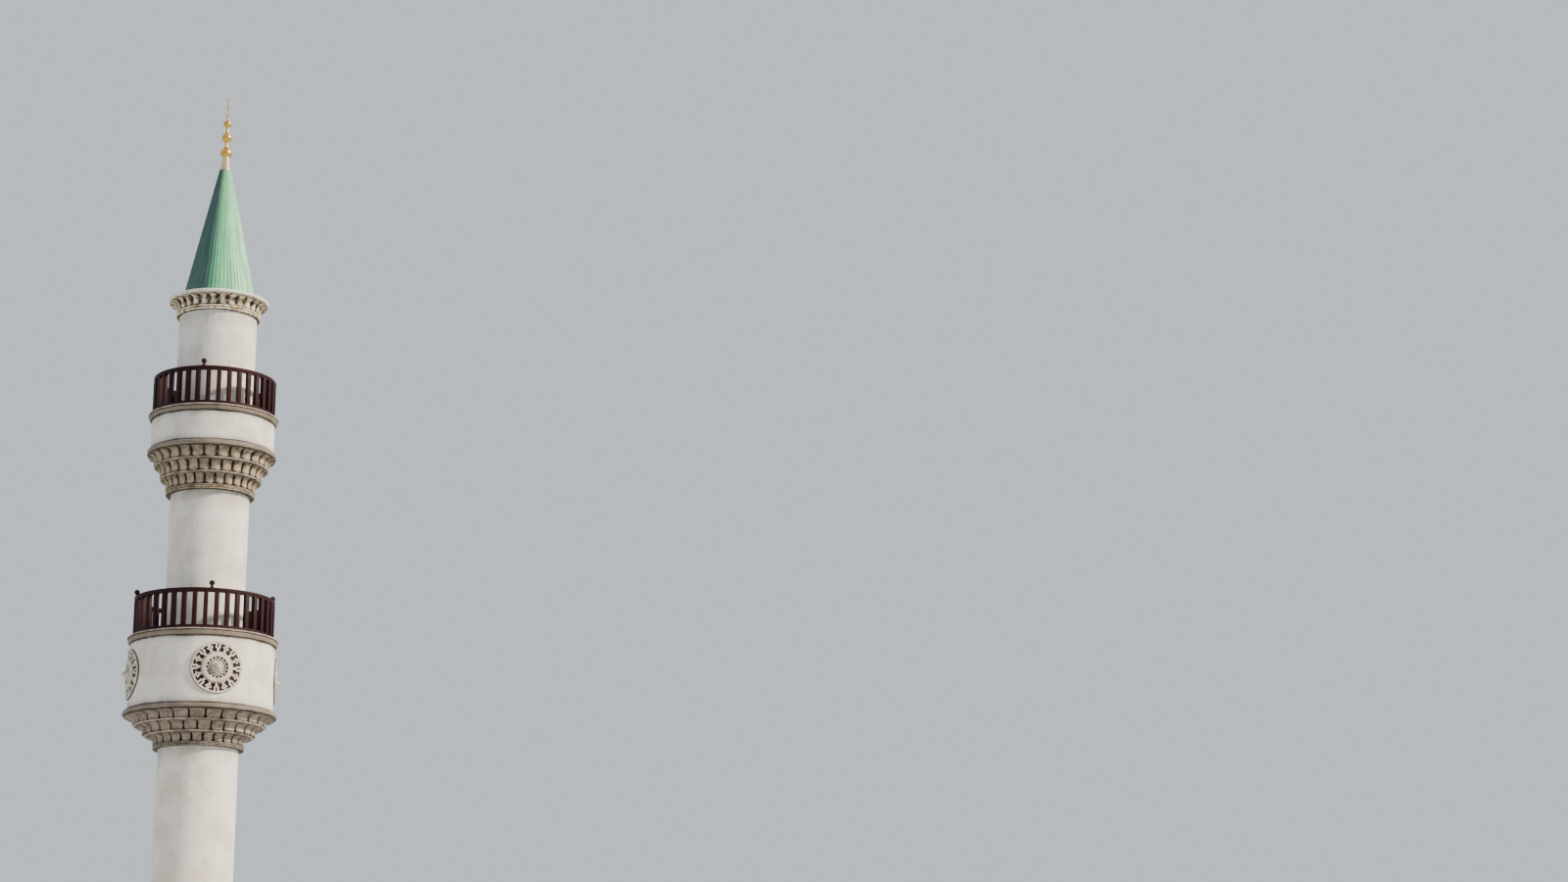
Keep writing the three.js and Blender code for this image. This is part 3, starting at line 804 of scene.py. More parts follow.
def corbel_block(sizes, corbel, wall, nose, back, bottom, top, half_width):
    """One block at the front, bowed from side to side, with a hollow curve and a notched foot."""
    lip = 0.012
    notch_height = 0.6 * corbel.foot
    steps = 6
    spring = bottom + corbel.foot
    outline = [(back, bottom)]
    for i in range(steps - 1):
        outline.append((wall, bottom + corbel.foot * i / steps))
    for i in range(steps + 1):
        angle = math.pi / 2 * i / steps
        outline.append((
            wall + (nose - wall) * (1 - math.cos(angle)), spring + (top - lip - spring) * math.sin(angle)))
    bm, far = extruded([(0, -radius, z) for radius, z in [*outline, (nose, top), (back, top)]])
    for vertex in bm.verts:
        vertex.co.x = -half_width(-vertex.co.y)
    for vertex in far:
        vertex.co.x = half_width(-vertex.co.y)
    bmesh.ops.recalc_face_normals(bm, faces=bm.faces[:])
    worn_edges(bm, corbel.edge)
    across = [line for line in bm.edges if abs(line.verts[0].co.x - line.verts[1].co.x) > half_width(wall)]
    bmesh.ops.subdivide_edges(bm, edges=across, cuts=5, use_grid_fill=True)
    for vertex in bm.verts:
        reach = -vertex.co.y
        if reach > back + corbel.edge:
            vertex.co.y += sizes.bow * (vertex.co.x / half_width(reach)) ** 2
        rise = (vertex.co.z - bottom) / notch_height
        if rise < 1:
            vertex.co.x *= 1 - sizes.notch / half_width(wall) * math.sqrt(1 - rise * rise)
    return bm


def corbel_ring(sizes, corbel, bore, bottom, under, wall, nose, first):
    """A ring of blocks on a round core, which they run into."""
    hair = 0.5 * MILLIMETRE
    core = wall - sizes.gap_depth
    back = core - 0.01
    pitch = 360 / sizes.blocks
    bm = spun([(bore, bottom), (core, bottom), (core, under), (bore, under)])

    def half_width(radius):
        return radius * math.tan(math.pi / sizes.blocks) - sizes.gap / 2

    block = corbel_block(sizes, corbel, wall, nose, back, bottom + hair, under - hair, half_width)
    absorb(bm, repeated(block, sizes.blocks, first + pitch / 2, pitch))
    return bm


def corbel_soot_and_shade(sizes, bottom, top, wall, nose):
    """Painted shade with sooting: dark deep in the gaps, a veil up the blocks towards the ledge, and a dark
    line at their foot and top.
    """
    def measure(radius, bearing_degrees, z):
        level = (z - bottom) / (top - bottom)
        rise = min(max(level, 0.0), 1.0)
        front = wall + (nose - wall) * (1 - math.sqrt(max(1 - rise * rise, 0.0)))
        # Painted shade: the deeper a point lies in a gap, the darker it is
        depth = smoothly(0.40, 0.85, (front - radius) / sizes.gap_depth)
        veil = sizes.soot * smoothly(0.30, 0.95, level)
        top_line = 0.85 * smoothly(0.84, 0.97, level)
        foot_line = 0.5 * smoothly(0.14, 0.05, level)
        return min(max(veil, top_line, foot_line) + sizes.gap_soot * depth, 1.0)
    return measure


def block_tint(blocks, first, seed):
    """A steady random tone for each block."""
    chance = random.Random(seed)
    tones = [chance.uniform(-1, 1) for _ in range(blocks)]
    pitch = 360 / blocks

    def measure(radius, bearing_degrees, z):
        return tones[int(((bearing_degrees - first) % 360) / pitch) % blocks]
    return measure


def add_blocks(settings, sizes, name, stone, node, bottom, under, wall, nose, first, seed):
    """Adds a ring of blocks that stands for a node."""
    ring = corbel_ring(sizes, settings.corbel, bore_of(settings), bottom, under, wall, nose, first)
    add_piece(
        ring, name, stone, [node], corbel_soot_and_shade(sizes, bottom, under, wall, nose),
        block_tint(sizes.blocks, first, seed))


def bead_groove_shade(collar_radius, bulge):
    """Painted shade: dark in the grooves between the beads of a collar and clean on the beads."""
    def measure(radius, bearing_degrees, z):
        return smoothly(collar_radius - 0.6 * bulge, collar_radius - 1.3 * bulge, radius)
    return measure


def add_collar(settings, sizes, name, stone, node):
    """Adds half-round beads, one above the other, at the foot of a node, and gives their top."""
    bore = bore_of(settings)
    pitch = sizes.collar_height / sizes.beads
    bulge = (1 - BEAD_GROOVE) / 2 * pitch
    seat = sizes.collar_radius - 1.4 * bulge
    bottom = bottom_of(node)
    top = bottom + sizes.collar_height
    outline = [(bore, bottom)]
    for i in range(sizes.beads):
        foot = bottom + pitch * i
        centre = foot + pitch / 2
        outline.append((seat, foot))
        outline.append((seat, centre - bulge))
        outline.extend(arc(sizes.collar_radius - bulge, centre, bulge, -90, 90, 6))
        outline.append((seat, centre + bulge))
    beads = spun([*outline, (seat, top), (bore, top)])
    add_piece(beads, name, stone, [node], bead_groove_shade(sizes.collar_radius, bulge))
    return top


def ledge_ring(bore, radius, under, top, lobe, blocks, first):
    """A thin ledge with a round edge, which may swell out in shallow lobes."""
    bulge = (top - under) / 2
    steps_per_block = 12
    cusp = 0.35 * lobe
    bm = spun([
        (bore, under), *arc(radius - bulge, under + bulge, bulge, -90, 90, 6), (bore, top),
    ], steps_per_block * blocks)
    if lobe:
        for vertex in bm.verts:
            x, y = vertex.co.xy
            reach = math.hypot(x, y)
            if reach > radius - 2 * bulge:
                wave = abs(math.cos((math.degrees(math.atan2(x, -y)) - first) * math.pi * blocks / 360))
                vertex.co.x *= (reach + lobe * wave - cusp) / reach
                vertex.co.y *= (reach + lobe * wave - cusp) / reach
    return bm


class MINARET_OT_corbels(bpy.types.Operator):
    """Builds the three tiers of corbel blocks under each balcony"""
    bl_idname = "minaret.corbels"
    bl_label = "Corbels"

    def execute(self, context):
        settings = context.scene.minaret
        moulded = limewashed_bead(settings.colours)
        stones = {
            "lower": painted_corbel_stone(settings.colours),
            "upper": ochre_corbel_stone(settings.colours),
        }
        for balcony in BALCONIES:
            sizes = getattr(settings, balcony)
            stone = stones[balcony]
            half_pitch = 180 / sizes.blocks
            for i, tier in enumerate(TIERS):
                node = f"{balcony}_corbel_{tier}_tier"
                bottom = bottom_of(node)
                under = top_of(node)
                first = math.degrees(settings.corbel.first_gap) + (i % 2) * half_pitch
                if i == 0:
                    bottom = add_collar(settings, sizes, f"{balcony}_collar_beads", stone, node)
                if i < len(sizes.ledges):
                    top = under
                    under = top - sizes.ledge_height
                    ledge = ledge_ring(
                        bore_of(settings), sizes.ledges[i], under, top, sizes.lobe, sizes.blocks, first)
                    # Dark lines of painted shade along the ledge's lower and upper edges
                    add_piece(
                        ledge, f"{balcony}_corbel_{tier}_ledge", moulded, [node],
                        edge_dirt_and_shade(under, top, strength=0.35, reach=0.012))
                add_blocks(
                    settings, sizes, f"{balcony}_corbel_{tier}_blocks", stone, node, bottom, under,
                    sizes.walls[i], sizes.noses[i], first, seed=10 * i + sizes.blocks)
        return {"FINISHED"}


# Round mouldings, drums and decks

def torus_outline(bore, radius, bottom, top, fillet):
    """A moulding with a broad rounded face between two sunk fillets."""
    half = (top - bottom) / 2 - fillet
    bulge = 0.75 * half
    fullness = 0.6
    seat = radius - bulge
    face = []
    for out, up in arc(0, 0, 1, -86, 86, 20):
        face.append((seat + bulge * out ** fullness, (bottom + top) / 2 + half * up))
    return [
        (bore, bottom), (seat, bottom), (seat, bottom + fillet), *face, (seat, top - fillet), (seat, top),
        (bore, top),
    ]


def deck_outline(bore, drum, radius, bottom, under, groove):
    """A deck's edge: a fillet against the drum, a rounded fascia that leans out, and a groove."""
    seat = drum + 0.016
    lean = radius - 0.030 - seat
    bulge = 0.020
    neck = radius - 0.040
    low = bottom + groove
    high = under - groove
    face = []
    for out, up in arc(0, 0, 1, -84, 84, 14):
        face.append((
            seat + lean * (up + 1) / 2 + bulge * math.sqrt(out), (low + high) / 2 + (high - low) / 2 * up))
    return [(bore, bottom), (seat, bottom), (seat, low), *face, (neck, high), (neck, under), (bore, under)]


def edge_dirt_and_shade(bottom, top, strength, reach, veil=0.0):
    """A dark line along the lower and the upper edge, with a soft veil of it beyond the line: dirt with
    painted shade where parts meet.
    """
    spread = 0.2

    def measure(radius, bearing_degrees, z):
        away = min(z - bottom, top - z)
        return max(strength * smoothly(reach, 0.45 * reach, away), veil * smoothly(spread, 0.0, away))
    return measure


class MINARET_OT_balconies(bpy.types.Operator):
    """Builds each balcony's round moulding, drum and deck"""
    bl_idname = "minaret.balconies"
    bl_label = "Balconies"

    def execute(self, context):
        settings = context.scene.minaret
        bore = bore_of(settings)
        groove = settings.corbel.groove
        drum_wall = 0.25
        row_height = 0.06
        moulded = run_moulding_plaster(settings.colours)
        for balcony in BALCONIES:
            node = f"{balcony}_torus_moulding"
            bottom = bottom_of(node)
            top = top_of(node)
            torus = spun(torus_outline(bore, reach_of(node), bottom, top, groove))
            # Dark lines of painted shade in the sunk fillets over and under the roll
            add_piece(
                torus, f"{balcony}_torus_roll", moulded, [node],
                edge_dirt_and_shade(bottom, top, strength=1.0, reach=2 * groove))
            node = f"{balcony}_drum"
            drum_radius = reach_of(node)
            bottom = bottom_of(node)
            top = top_of(node)
            rows = round((top - bottom) / row_height)
            # The rows lie closer together near both ends, where the dirt and painted shade are
            levels = [(1 - math.cos(math.pi * i / rows)) / 2 for i in range(rows + 1)]
            drum = spun(wall_outline(drum_radius - drum_wall, drum_radius, bottom, top, levels))
            # Dirt with painted shade along the drum's foot and under the deck
            add_piece(
                drum, f"{balcony}_drum_wall", lime_render(settings.colours), [node],
                edge_dirt_and_shade(bottom, top, strength=0.9, reach=0.040, veil=0.30))
            node = f"{balcony}_deck"
            bottom = bottom_of(node)
            top = top_of(node)
            under = top - 2 * settings.corbel.roll
            deck = spun(deck_outline(bore, drum_radius, reach_of(node), bottom, under, groove))
            # Dark lines of painted shade along the deck's grooves
            add_piece(
                deck, f"{balcony}_deck_fascia", moulded, [node],
                edge_dirt_and_shade(bottom, under, strength=1.0, reach=1.8 * groove))
            bottom = under + SEAT_GAP
            half = (top - bottom) / 2
            rim = arc(reach_of(node) - half, bottom + half, half, -90, 90, 8)
            # Painted shade along the roll's underside
            add_piece(
                spun([(bore, bottom), *rim, (bore, top)]), f"{balcony}_deck_roll",
                limewashed_bead(settings.colours), [node],
                edge_dirt_and_shade(under, top + 0.03, strength=0.7, reach=0.012))
        return {"FINISHED"}


# The medallions

def round_cutter(inner, outer, reach, height):
    """A round bar, or a thick tube, that runs out from the axis at the front."""
    outline = [(inner, -reach), (outer, -reach), (outer, 0), (inner, 0)]
    return shift(spun(outline, 96, "Y"), 0, height)


def recess_cutters(medallion, reach, height):
    """The radial slots, the mirrored boot-shaped recesses beside them and the diamonds."""
    repeats = 8
    inner = medallion.disc + 0.008
    slot = [(-0.019, 0.497), (0.019, 0.497), (0.019, 0.614), (-0.019, 0.614)]
    diamond = [(-0.020, 0.505), (0, 0.474), (0.020, 0.505), (0, 0.536)]
    boot = [(0.069, 0.496), (0.028, 0.466), (0.028, inner), (0.143, inner), (0.143, 0.466), (0.124, 0.508)]
    for distance, angles in ((0.545, (13, 16, 19)), (0.594, (18.4, 15, 12, 9, 6))):
        for angle in angles:
            boot.append((distance * math.sin(math.radians(angle)), distance * math.cos(math.radians(angle))))
    mirrored = [(-x, z) for x, z in reversed(boot)]
    bm = bmesh.new()
    for outline in (slot, boot, mirrored):
        absorb(bm, prism(outline, reach))
    absorb(bm, turn(prism(diamond, reach), 180 / repeats, "Y"))
    return shift(repeated(bm, repeats, 0, 360 / repeats, "Y"), 0, height)


def lace_cutters(reach, height):
    """Two rings of small round holes, the inner one half a step behind."""
    repeats = 16
    corners = 12
    bm = bmesh.new()
    for ring_radius, hole, first in ((0.244, 0.031, 0), (0.190, 0.023, 180 / repeats)):
        bar = prism(arc(0, ring_radius, hole, 0, 360 - 360 / corners, corners - 1), reach)
        absorb(bm, repeated(bar, repeats, first, 360 / repeats, "Y"))
    return shift(bm, 0, height)


def medallion_relief(medallion, drum, height):
    """The whole medallion at the front: ground, pierced plate, rims, lace and pointed boss."""
    reach = 1.3 * drum
    half = medallion.radius + 0.02
    span = 48
    rim = medallion.disc - 0.012
    sunk = 0.006
    ground_rise = 0.012
    plate_rise = 0.044
    disc_rise = 0.046
    band_rise = 0.070
    boss_foot = 0.030

    def layer(low_rise, high_rise, inner, outer):
        """A round layer that follows the drum, between two rises over its face."""
        low = drum + low_rise
        high = drum + high_rise
        outline = [(low, height - half), (high, height - half), (high, height + half), (low, height + half)]
        strip = swept(outline, -span / 2, span, span)
        return combined(strip, round_cutter(inner, outer, reach, height), "INTERSECT")

    relief = layer(0.5 * MILLIMETRE, ground_rise, 0, medallion.radius - 0.001)
    plate = layer(sunk, plate_rise, medallion.disc, medallion.radius - 0.010)
    plate = combined(plate, recess_cutters(medallion, reach, height), "DIFFERENCE")
    disc = combined(layer(sunk, disc_rise, 0, rim), lace_cutters(reach, height), "DIFFERENCE")
    band = layer(disc_rise - sunk, band_rise, medallion.lace, rim)
    worn_edges(band, 0.006)
    foot = -drum - boss_foot
    tip = -drum - medallion.boss_rise
    boss = spun([
        (0, foot),
        (medallion.boss, foot),
        (medallion.boss, foot - 0.014),
        (medallion.boss * 0.95, foot - 0.024),
        (0.036, tip + 0.024),
        (0.024, tip + 0.008),
        (0.012, tip + 0.001),
        (0, tip),
    ], 40, "Y")
    for part in (plate, disc, band, shift(boss, 0, height)):
        absorb(relief, part)
    return relief


def relief_ground_and_shade(medallion, drum, height, middle):
    """The red-brown ground full in the recesses near the drum's face, a thin darkening over the lace, and
    painted shade on the boss's lower side.
    """
    boss_above = 0.06

    def measure(radius, bearing_degrees, z):
        rise = radius - drum
        across = drum * math.radians((bearing_degrees - middle + 180) % 360 - 180)
        away = math.hypot(across, z - height)
        # Painted shade: the boss darkens towards its lower side
        if rise > boss_above and away < medallion.boss + 0.01:
            return 0.5 * smoothly(0.04, -0.12, z - height)
        lace = 0.30 if away < medallion.lace and rise < boss_above else 0.0
        return max(1.8 * smoothly(0.040, 0.014, rise), lace)
    return measure


class MINARET_OT_medallions(bpy.types.Operator):
    """Builds the four carved medallions on the lower drum"""
    bl_idname = "minaret.medallions"
    bl_label = "Medallions"

    def execute(self, context):
        settings = context.scene.minaret
        medallion = settings.medallion
        drum = reach_of("lower_drum")
        height = (bottom_of("lower_medallion_front") + top_of("lower_medallion_front")) / 2
        stone = cast_medallion_plaster(settings.colours)
        first = math.degrees(medallion.first)
        model = turn(medallion_relief(medallion, drum, height), first)
        for i, side in enumerate(MEDALLIONS):
            add_piece(
                turn(model.copy(), 90 * i), f"lower_medallion_{side}_relief", stone,
                [f"lower_medallion_{side}"], relief_ground_and_shade(medallion, drum, height, first + 90 * i))
        model.free()
        return {"FINISHED"}


# The railings

def handrail_outline(radius, width, bottom, top):
    """A handrail with a rounded top and a smaller bead under it."""
    half = width / 2
    bead = 0.28 * (top - bottom)
    bulge = 0.48 * (top - bottom - bead)
    foot = 0.72 * half
    neck = 0.80 * half
    crown = [(radius + half * across, top - bulge + bulge * up) for across, up in arc(0, 0, 1, 0, 180, 12)]
    return [
        (radius - foot, bottom), (radius + foot, bottom), (radius + neck, bottom + bead), *crown,
        (radius - neck, bottom + bead),
    ]


def foot_rail_outline(radius, width, bottom, top):
    """A square rail whose two upper edges are cut off a little."""
    half = width / 2
    edge = 0.07 * width
    return [
        (radius - half, bottom), (radius + half, bottom), (radius + half, top - edge),
        (radius + half - edge, top), (radius - half + edge, top), (radius - half, top - edge),
    ]


def baluster_shape(side, radius, bottom, top):
    """A square baluster with worn edges."""
    bm = bmesh.new()
    bmesh.ops.create_cube(bm, size=1.0)
    bmesh.ops.scale(bm, verts=bm.verts[:], vec=(side, side, top - bottom))
    worn_edges(bm, 0.007)
    return shift(bm, -radius, (top + bottom) / 2)


def ball_shape(railing, radius, base):
    """A ball on a short neck that flares at its foot and runs into the handrail."""
    centre = base + railing.neck + railing.ball
    neck = 0.42 * railing.ball
    sunk = base - 0.04
    outline = [
        (0, sunk), (neck * 2, sunk), (neck * 1.9, base + 0.006), (neck * 1.3, base + 0.020),
        (neck, base + railing.neck * 0.8), *arc(0, centre, railing.ball, -64, 90, 14)[:-1],
        (0, centre + railing.ball),
    ]
    return shift(spun(outline, 24), -radius, 0)


def railing_panel(railing, sizes, start, span, deck_top, rail_top):
    """A panel with whole gaps between its balusters, a hair short of its neighbours at both ends."""
    spacing = 360 / sizes.baluster_count
    copies = round(span / spacing)
    radius = sizes.rail_radius
    seam = math.degrees(SEAT_GAP / radius)
    foot_top = deck_top + railing.foot_height
    under = rail_top - railing.handrail_height
    sink = 0.1 * railing.foot_height
    bm = bmesh.new()
    for outline in (
            foot_rail_outline(radius, railing.foot_width, deck_top + SEAT_GAP, foot_top),
            handrail_outline(radius, railing.handrail_width, under, rail_top)):
        absorb(bm, swept(outline, start + seam / 2, span - seam, 3 * copies))
    baluster = baluster_shape(railing.baluster, radius, foot_top - sink, under + sink)
    absorb(bm, repeated(baluster, copies, start + spacing / 2, spacing))
    for i in range(sizes.balls):
        bearing_degrees = math.degrees(sizes.first_ball) + 360 * i / sizes.balls
        if start < bearing_degrees < start + span:
            absorb(bm, turn(ball_shape(railing, radius, rail_top), bearing_degrees))
    return bm


class MINARET_OT_railings(bpy.types.Operator):
    """Builds the panels of both railings, with balls round their handrails"""
    bl_idname = "minaret.railings"
    bl_label = "Railings"

    def execute(self, context):
        settings = context.scene.minaret
        railing = settings.railing
        paint = old_oil_paint(settings.colours)
        ball_rise = railing.neck + 2 * railing.ball
        for balcony in BALCONIES:
            sizes = getattr(settings, balcony)
            panels = PANELS[balcony]
            span = 360 / len(panels)
            rail_top = top_of(f"{balcony}_railing_{panels[0]}") - ball_rise
            for i, side in enumerate(panels):
                node = f"{balcony}_railing_{side}"
                start = math.degrees(sizes.first_ball) - 360 / sizes.baluster_count + i * span
                panel = railing_panel(railing, sizes, start, span, bottom_of(node), rail_top)
                add_piece(panel, f"{node}_panel", paint, [node])
        return {"FINISHED"}


# The cornice

class MINARET_OT_cornice(bpy.types.Operator):
    """Builds the cornice blocks and the slab that carries the spire"""
    bl_idname = "minaret.cornice"
    bl_label = "Cornice"

    def execute(self, context):
        settings = context.scene.minaret
        sizes = settings.cornice
        stone = cornice_stone_painted_sunlit(settings.colours)
        node = "cornice_corbels"
        bottom = add_collar(settings, sizes, "cornice_beads", stone, node)
        first = math.degrees(settings.corbel.first_gap) + 180 / sizes.blocks
        add_blocks(
            settings, sizes, "cornice_blocks", stone, node, bottom, top_of(node), sizes.wall, sizes.nose,
            first, seed=5)
        node = "cornice_slab"
        bottom = bottom_of(node)
        top = top_of(node)
        bulge = (top - bottom) / 2
        rim = arc(reach_of(node) - bulge, bottom + bulge, bulge, -90, 90, 16)
        # A faint line of painted shade along the slab's underside
        add_piece(
            spun([(0, bottom), *rim, (0, top)]), "cornice_slab_disc", limewashed_slab(settings.colours),
            [node],
            edge_dirt_and_shade(bottom, top + 0.1, strength=0.25, reach=0.03))
        return {"FINISHED"}


# The spire and its finial

def seamed_cone(spire, bottom, top):
    """A cone of sheet metal with standing seams that get lower towards the tip."""
    rows = 24
    shell = 0.05
    lid = 0.1
    steps_per_seam = 6
    steps = steps_per_seam * spire.seams

    def skin(level):
        return spire.base_radius - spire.seam_rise + (spire.top_radius - spire.base_radius) * level

    slope = []
    for i in range(rows + 1):
        level = (i / rows) ** 1.5
        slope.append((skin(level), bottom + (top - bottom) * level))
    bm = spun([
        (spire.base_radius - shell, bottom), *slope, (0, top), (0, top - lid),
        (spire.top_radius * 0.6, top - lid),
    ], steps)
    for vertex in bm.verts:
        x, y, z = vertex.co
        radius = math.hypot(x, y)
        level = (z - bottom) / (top - bottom)
        step = round(math.atan2(x, -y) / (2 * math.pi) * steps)
        if abs(radius - skin(level)) < MILLIMETRE and step % steps_per_seam == 0:
            rise = spire.seam_rise * (1 - 0.6 * level)
            vertex.co.x *= (radius + rise) / radius
            vertex.co.y *= (radius + rise) / radius
    return bm


def gilt_neck(spire, bottom, top):
    """The tapered neck, with a bead at its foot and a collar under the large ball."""
    wide = spire.neck_bottom
    thin = spire.neck_top
    return spun([
        (0, bottom),
        (wide * 0.94, bottom),
        (wide, bottom + 0.012),
        (wide, bottom + 0.034),
        (wide * 0.93, bottom + 0.050),
        (thin * 1.02, top - 0.055),
        (thin * 0.9, top - 0.035),
        (thin, top - 0.022),
        (thin, top - 0.006),
        (thin * 0.92, top),
        (0, top),
    ], 64)


def gilt_ball(radius, rod, bottom, top, seat, has_rod):
    """A ball that sits on the part below it, with its rod and a small bead round the rod."""
    sunk = math.sqrt(radius ** 2 - seat ** 2)
    centre = bottom + sunk
    start = -math.degrees(math.atan2(sunk, seat))
    if has_rod:
        end = math.degrees(math.acos(rod / radius))
        face = arc(0, centre, radius, start, end, 28)
        neck = face[-1][1]
        bead = rod * 1.35
        face += [
            (bead, neck + 0.010), (bead, neck + 0.022), (rod, neck + 0.032),
            (rod * 0.85, (neck + top) / 2), (rod, top),
        ]
    else:
        face = arc(0, centre, radius, start, 86, 32)
    return spun([(0, bottom), *face, (0, top)], 64)


def gilt_crescent(spire, bottom):
    """An upright crescent, thin from front to back and pointed at its horns, on a short stem."""
    outer = spire.crescent_outer
    inner = spire.crescent_inner
    offset = spire.crescent_rise
    rod = spire.rod
    stem_top = bottom + spire.stem
    sunk = 0.012
    tip_height = (outer ** 2 - inner ** 2 + offset ** 2) / (2 * offset)
    tip_reach = math.sqrt(outer ** 2 - tip_height ** 2)
    outer_turn = math.degrees(math.atan2(tip_height, tip_reach))
    inner_turn = math.degrees(math.atan2(tip_height - offset, tip_reach))
    outside = arc(0, 0, outer, 180 - outer_turn, 360 + outer_turn, 56)
    inside = arc(0, offset, inner, 360 + inner_turn, 180 - inner_turn, 48)
    bm = prism([*outside, *inside[1:-1]], spire.crescent_depth)
    shift(bm, spire.crescent_depth / 2, stem_top + outer - sunk)
    worn_edges(bm, 0.011, 3, 60)
    turn(bm, 90)
    absorb(bm, spun([
        (0, bottom), (rod, bottom), (rod * 0.95, bottom + 0.012), (rod * 0.55, bottom + 0.025),
        (rod * 0.55, stem_top - 0.006), (rod * 0.8, stem_top + 0.004), (0, stem_top + 0.004),
    ], 32))
    return bm


def roof_foot_shade_and_seam_lines(bottom, seams):
    """A thin dark line of painted shade where the roof meets the slab, and a faint darker line along every
    seam.
    """
    pitch = 360 / seams

    def measure(radius, bearing_degrees, z):
        away = abs((bearing_degrees / pitch + 0.5) % 1 - 0.5)
        return max(0.7 * smoothly(bottom + 0.05, bottom + 0.01, z), 0.50 * smoothly(0.10, 0.02, away))
    return measure


class MINARET_OT_spire(bpy.types.Operator):
    """Builds the seamed spire and the gilt finial over it"""
    bl_idname = "minaret.spire"
    bl_label = "Spire"

    def execute(self, context):
        settings = context.scene.minaret
        spire = settings.spire
        gilt = gilt_copper(settings.colours)
        pale_gilt = pale_gilt_brass(settings.colours)
        node = "spire_cone"
        add_piece(
            seamed_cone(spire, bottom_of(node), top_of(node)), "spire_seamed_cone",
            painted_roof_sheet(settings.colours), [node],
            roof_foot_shade_and_seam_lines(bottom_of(node), spire.seams), smooth=20)
        node = "finial_neck"
        neck = gilt_neck(spire, bottom_of(node), top_of(node))
        add_piece(neck, "finial_gilt_neck", pale_gilt, [node])
        seat = spire.neck_top
        for size, radius in zip(BALLS, spire.balls):
            node = f"finial_{size}_ball"
            ball = gilt_ball(radius, spire.rod, bottom_of(node), top_of(node), seat, size != BALLS[-1])
            add_piece(ball, f"finial_gilt_{size}_ball", gilt, [node])
            seat = spire.rod
        node = "finial_crescent"
        add_piece(
            gilt_crescent(spire, bottom_of(node)), "finial_gilt_crescent", pale_gilt, [node])
        return {"FINISHED"}


# The stage

FLOOR_RADIUS = 34
# Strengths of the sky and of a soft sun, with the sun's width, bearing and height in degrees
SKY_STRENGTH = 0.92
SUN_STRENGTH = 7.5
SUN_WIDTH = 6
SUN_BEARING = 68
SUN_ELEVATION = 32
# The camera's place and lens, fitted to the photograph, with its turns in radians
CAMERA_PLACE = (0, -69.575, -1.30)
CAMERA_LENS = 62.0
CAMERA_SENSOR = 36.0
CAMERA_PAN = -0.21539
CAMERA_TILT = 0.25636
CAMERA_ROLL = -0.00836


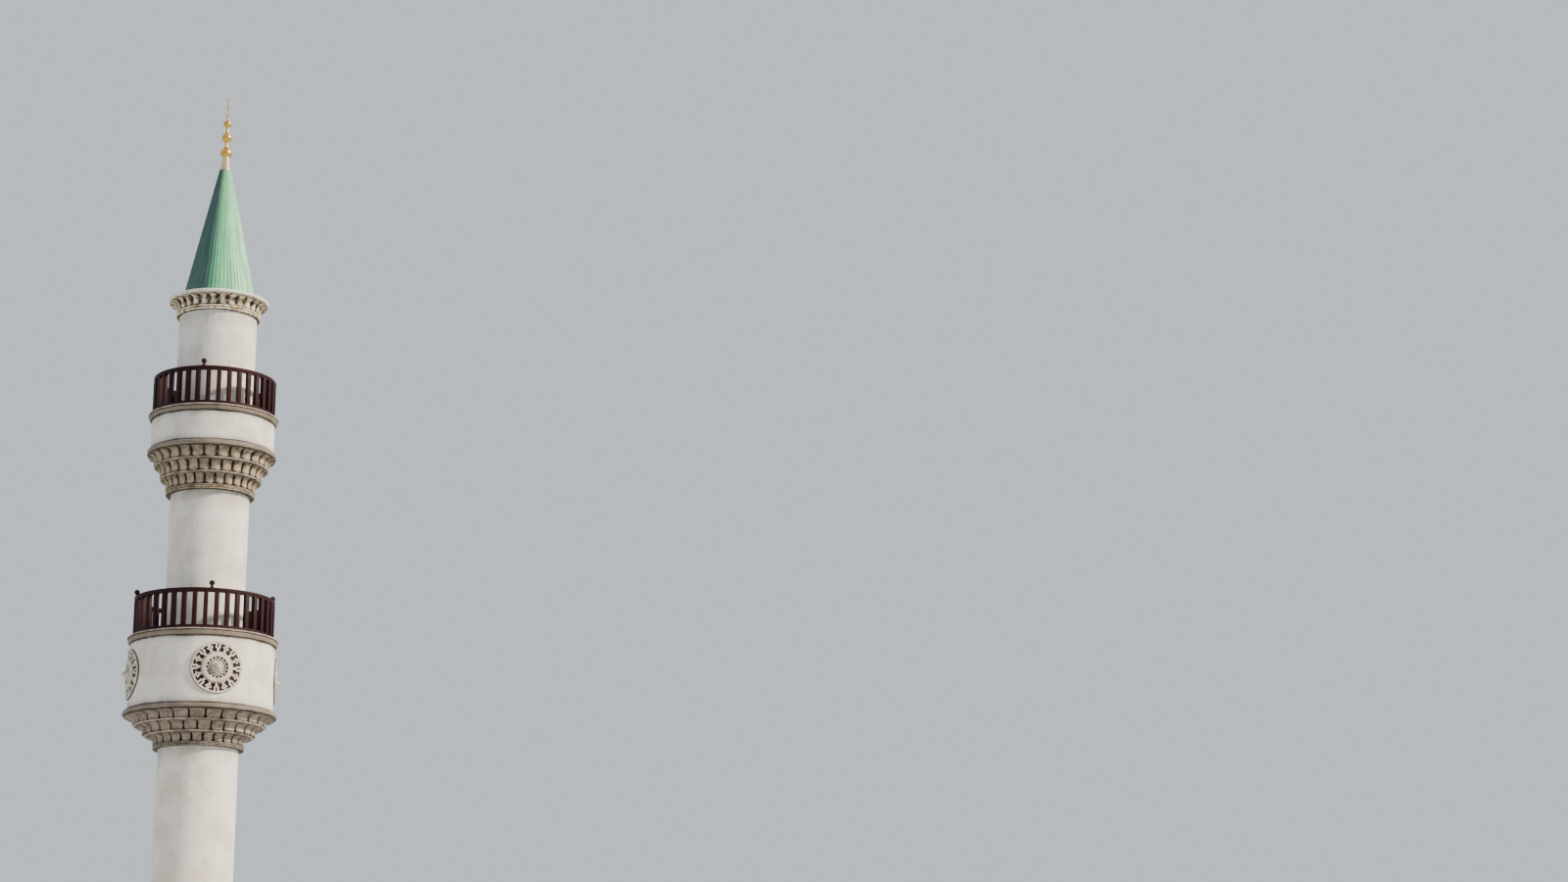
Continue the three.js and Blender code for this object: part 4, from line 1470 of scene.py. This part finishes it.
class MINARET_OT_stage(bpy.types.Operator):
    """Sets the floor, the soft light and the camera"""
    bl_idname = "minaret.stage"
    bl_label = "Stage"

    def execute(self, context):
        scene = context.scene
        bm = bmesh.new()
        bmesh.ops.create_circle(bm, cap_ends=True, segments=128, radius=FLOOR_RADIUS)
        bmesh.ops.recalc_face_normals(bm, faces=bm.faces[:])
        floor = mesh_object(bm, "studio_floor")
        floor.data.materials.append(
            finish("pale_floor", lambda tree: {"Base Color": linear("dcdcd8"), "Roughness": 0.9}))
        floor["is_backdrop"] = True

        world = bpy.data.worlds.new("soft_studio")
        world.use_nodes = True
        world.node_tree.nodes.clear()
        sky = add_node(world.node_tree, "ShaderNodeBackground", {
            "Color": linear("dfe8f2"), "Strength": SKY_STRENGTH})
        add_node(world.node_tree, "ShaderNodeOutputWorld", {"Surface": sky})
        scene.world = world

        sun = bpy.data.lights.new("soft_key", "SUN")
        sun.energy = SUN_STRENGTH
        sun.angle = math.radians(SUN_WIDTH)
        sun.color = linear("fff0dc")[:3]
        around = math.radians(SUN_BEARING)
        towards = Vector((
            math.sin(around), -math.cos(around), math.tan(math.radians(SUN_ELEVATION))))
        linked("soft_key", sun).rotation_euler = towards.to_track_quat("Z", "Y").to_euler()

        lens = bpy.data.cameras.new("camera")
        lens.sensor_width = CAMERA_SENSOR
        lens.lens = CAMERA_LENS
        lens.clip_end = 500.0
        camera = linked("camera", lens)
        pan = Matrix.Rotation(CAMERA_PAN, 4, "Z")
        tilt = Matrix.Rotation(math.pi / 2 + CAMERA_TILT, 4, "X")
        roll = Matrix.Rotation(CAMERA_ROLL, 4, "Z")
        camera.matrix_world = Matrix.Translation(CAMERA_PLACE) @ pan @ tilt @ roll
        scene.camera = camera
        return {"FINISHED"}


class MINARET_PT_sidebar(bpy.types.Panel):
    """Lists the minaret's sizes, colours and pieces"""
    bl_idname = "MINARET_PT_sidebar"
    bl_label = "Minaret"
    bl_space_type = "VIEW_3D"
    bl_region_type = "UI"
    bl_category = "Minaret"

    def draw(self, context):
        settings = context.scene.minaret
        for group_name in settings.bl_rna.properties.keys():
            group = getattr(settings, group_name)
            if isinstance(group, bpy.types.PropertyGroup):
                box = self.layout.box()
                box.label(text=settings.bl_rna.properties[group_name].name)
                for name in group.bl_rna.properties.keys():
                    if name not in ("rna_type", "name"):
                        box.prop(group, name)
        for operator in OPERATORS:
            self.layout.operator(operator.bl_idname)


GROUPS = (
    ShaftSizes, LowerBalconySizes, UpperBalconySizes, CorniceSizes, CorbelSizes, RailingSizes,
    MedallionSizes, SpireSizes, MinaretColours, MinaretSettings,
)
OPERATORS = (
    MINARET_OT_shaft, MINARET_OT_corbels, MINARET_OT_balconies, MINARET_OT_medallions,
    MINARET_OT_railings, MINARET_OT_cornice, MINARET_OT_spire, MINARET_OT_stage,
)
CLASSES = (*GROUPS, *OPERATORS, MINARET_PT_sidebar)


def register():
    for item in CLASSES:
        bpy.utils.register_class(item)
    bpy.types.Scene.minaret = bpy.props.PointerProperty(type=MinaretSettings)


def unregister():
    del bpy.types.Scene.minaret
    for item in reversed(CLASSES):
        bpy.utils.unregister_class(item)


def main():
    register()
    bpy.ops.minaret.shaft()
    bpy.ops.minaret.corbels()
    bpy.ops.minaret.balconies()
    bpy.ops.minaret.medallions()
    bpy.ops.minaret.railings()
    bpy.ops.minaret.cornice()
    bpy.ops.minaret.spire()
    bpy.ops.minaret.stage()
    sizes = {"cad": CAD_BOX, "visual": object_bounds()}
    {name: [list(corner) for corner in box] for name, box in sizes.items()}


if __name__ == "__main__":
    main()
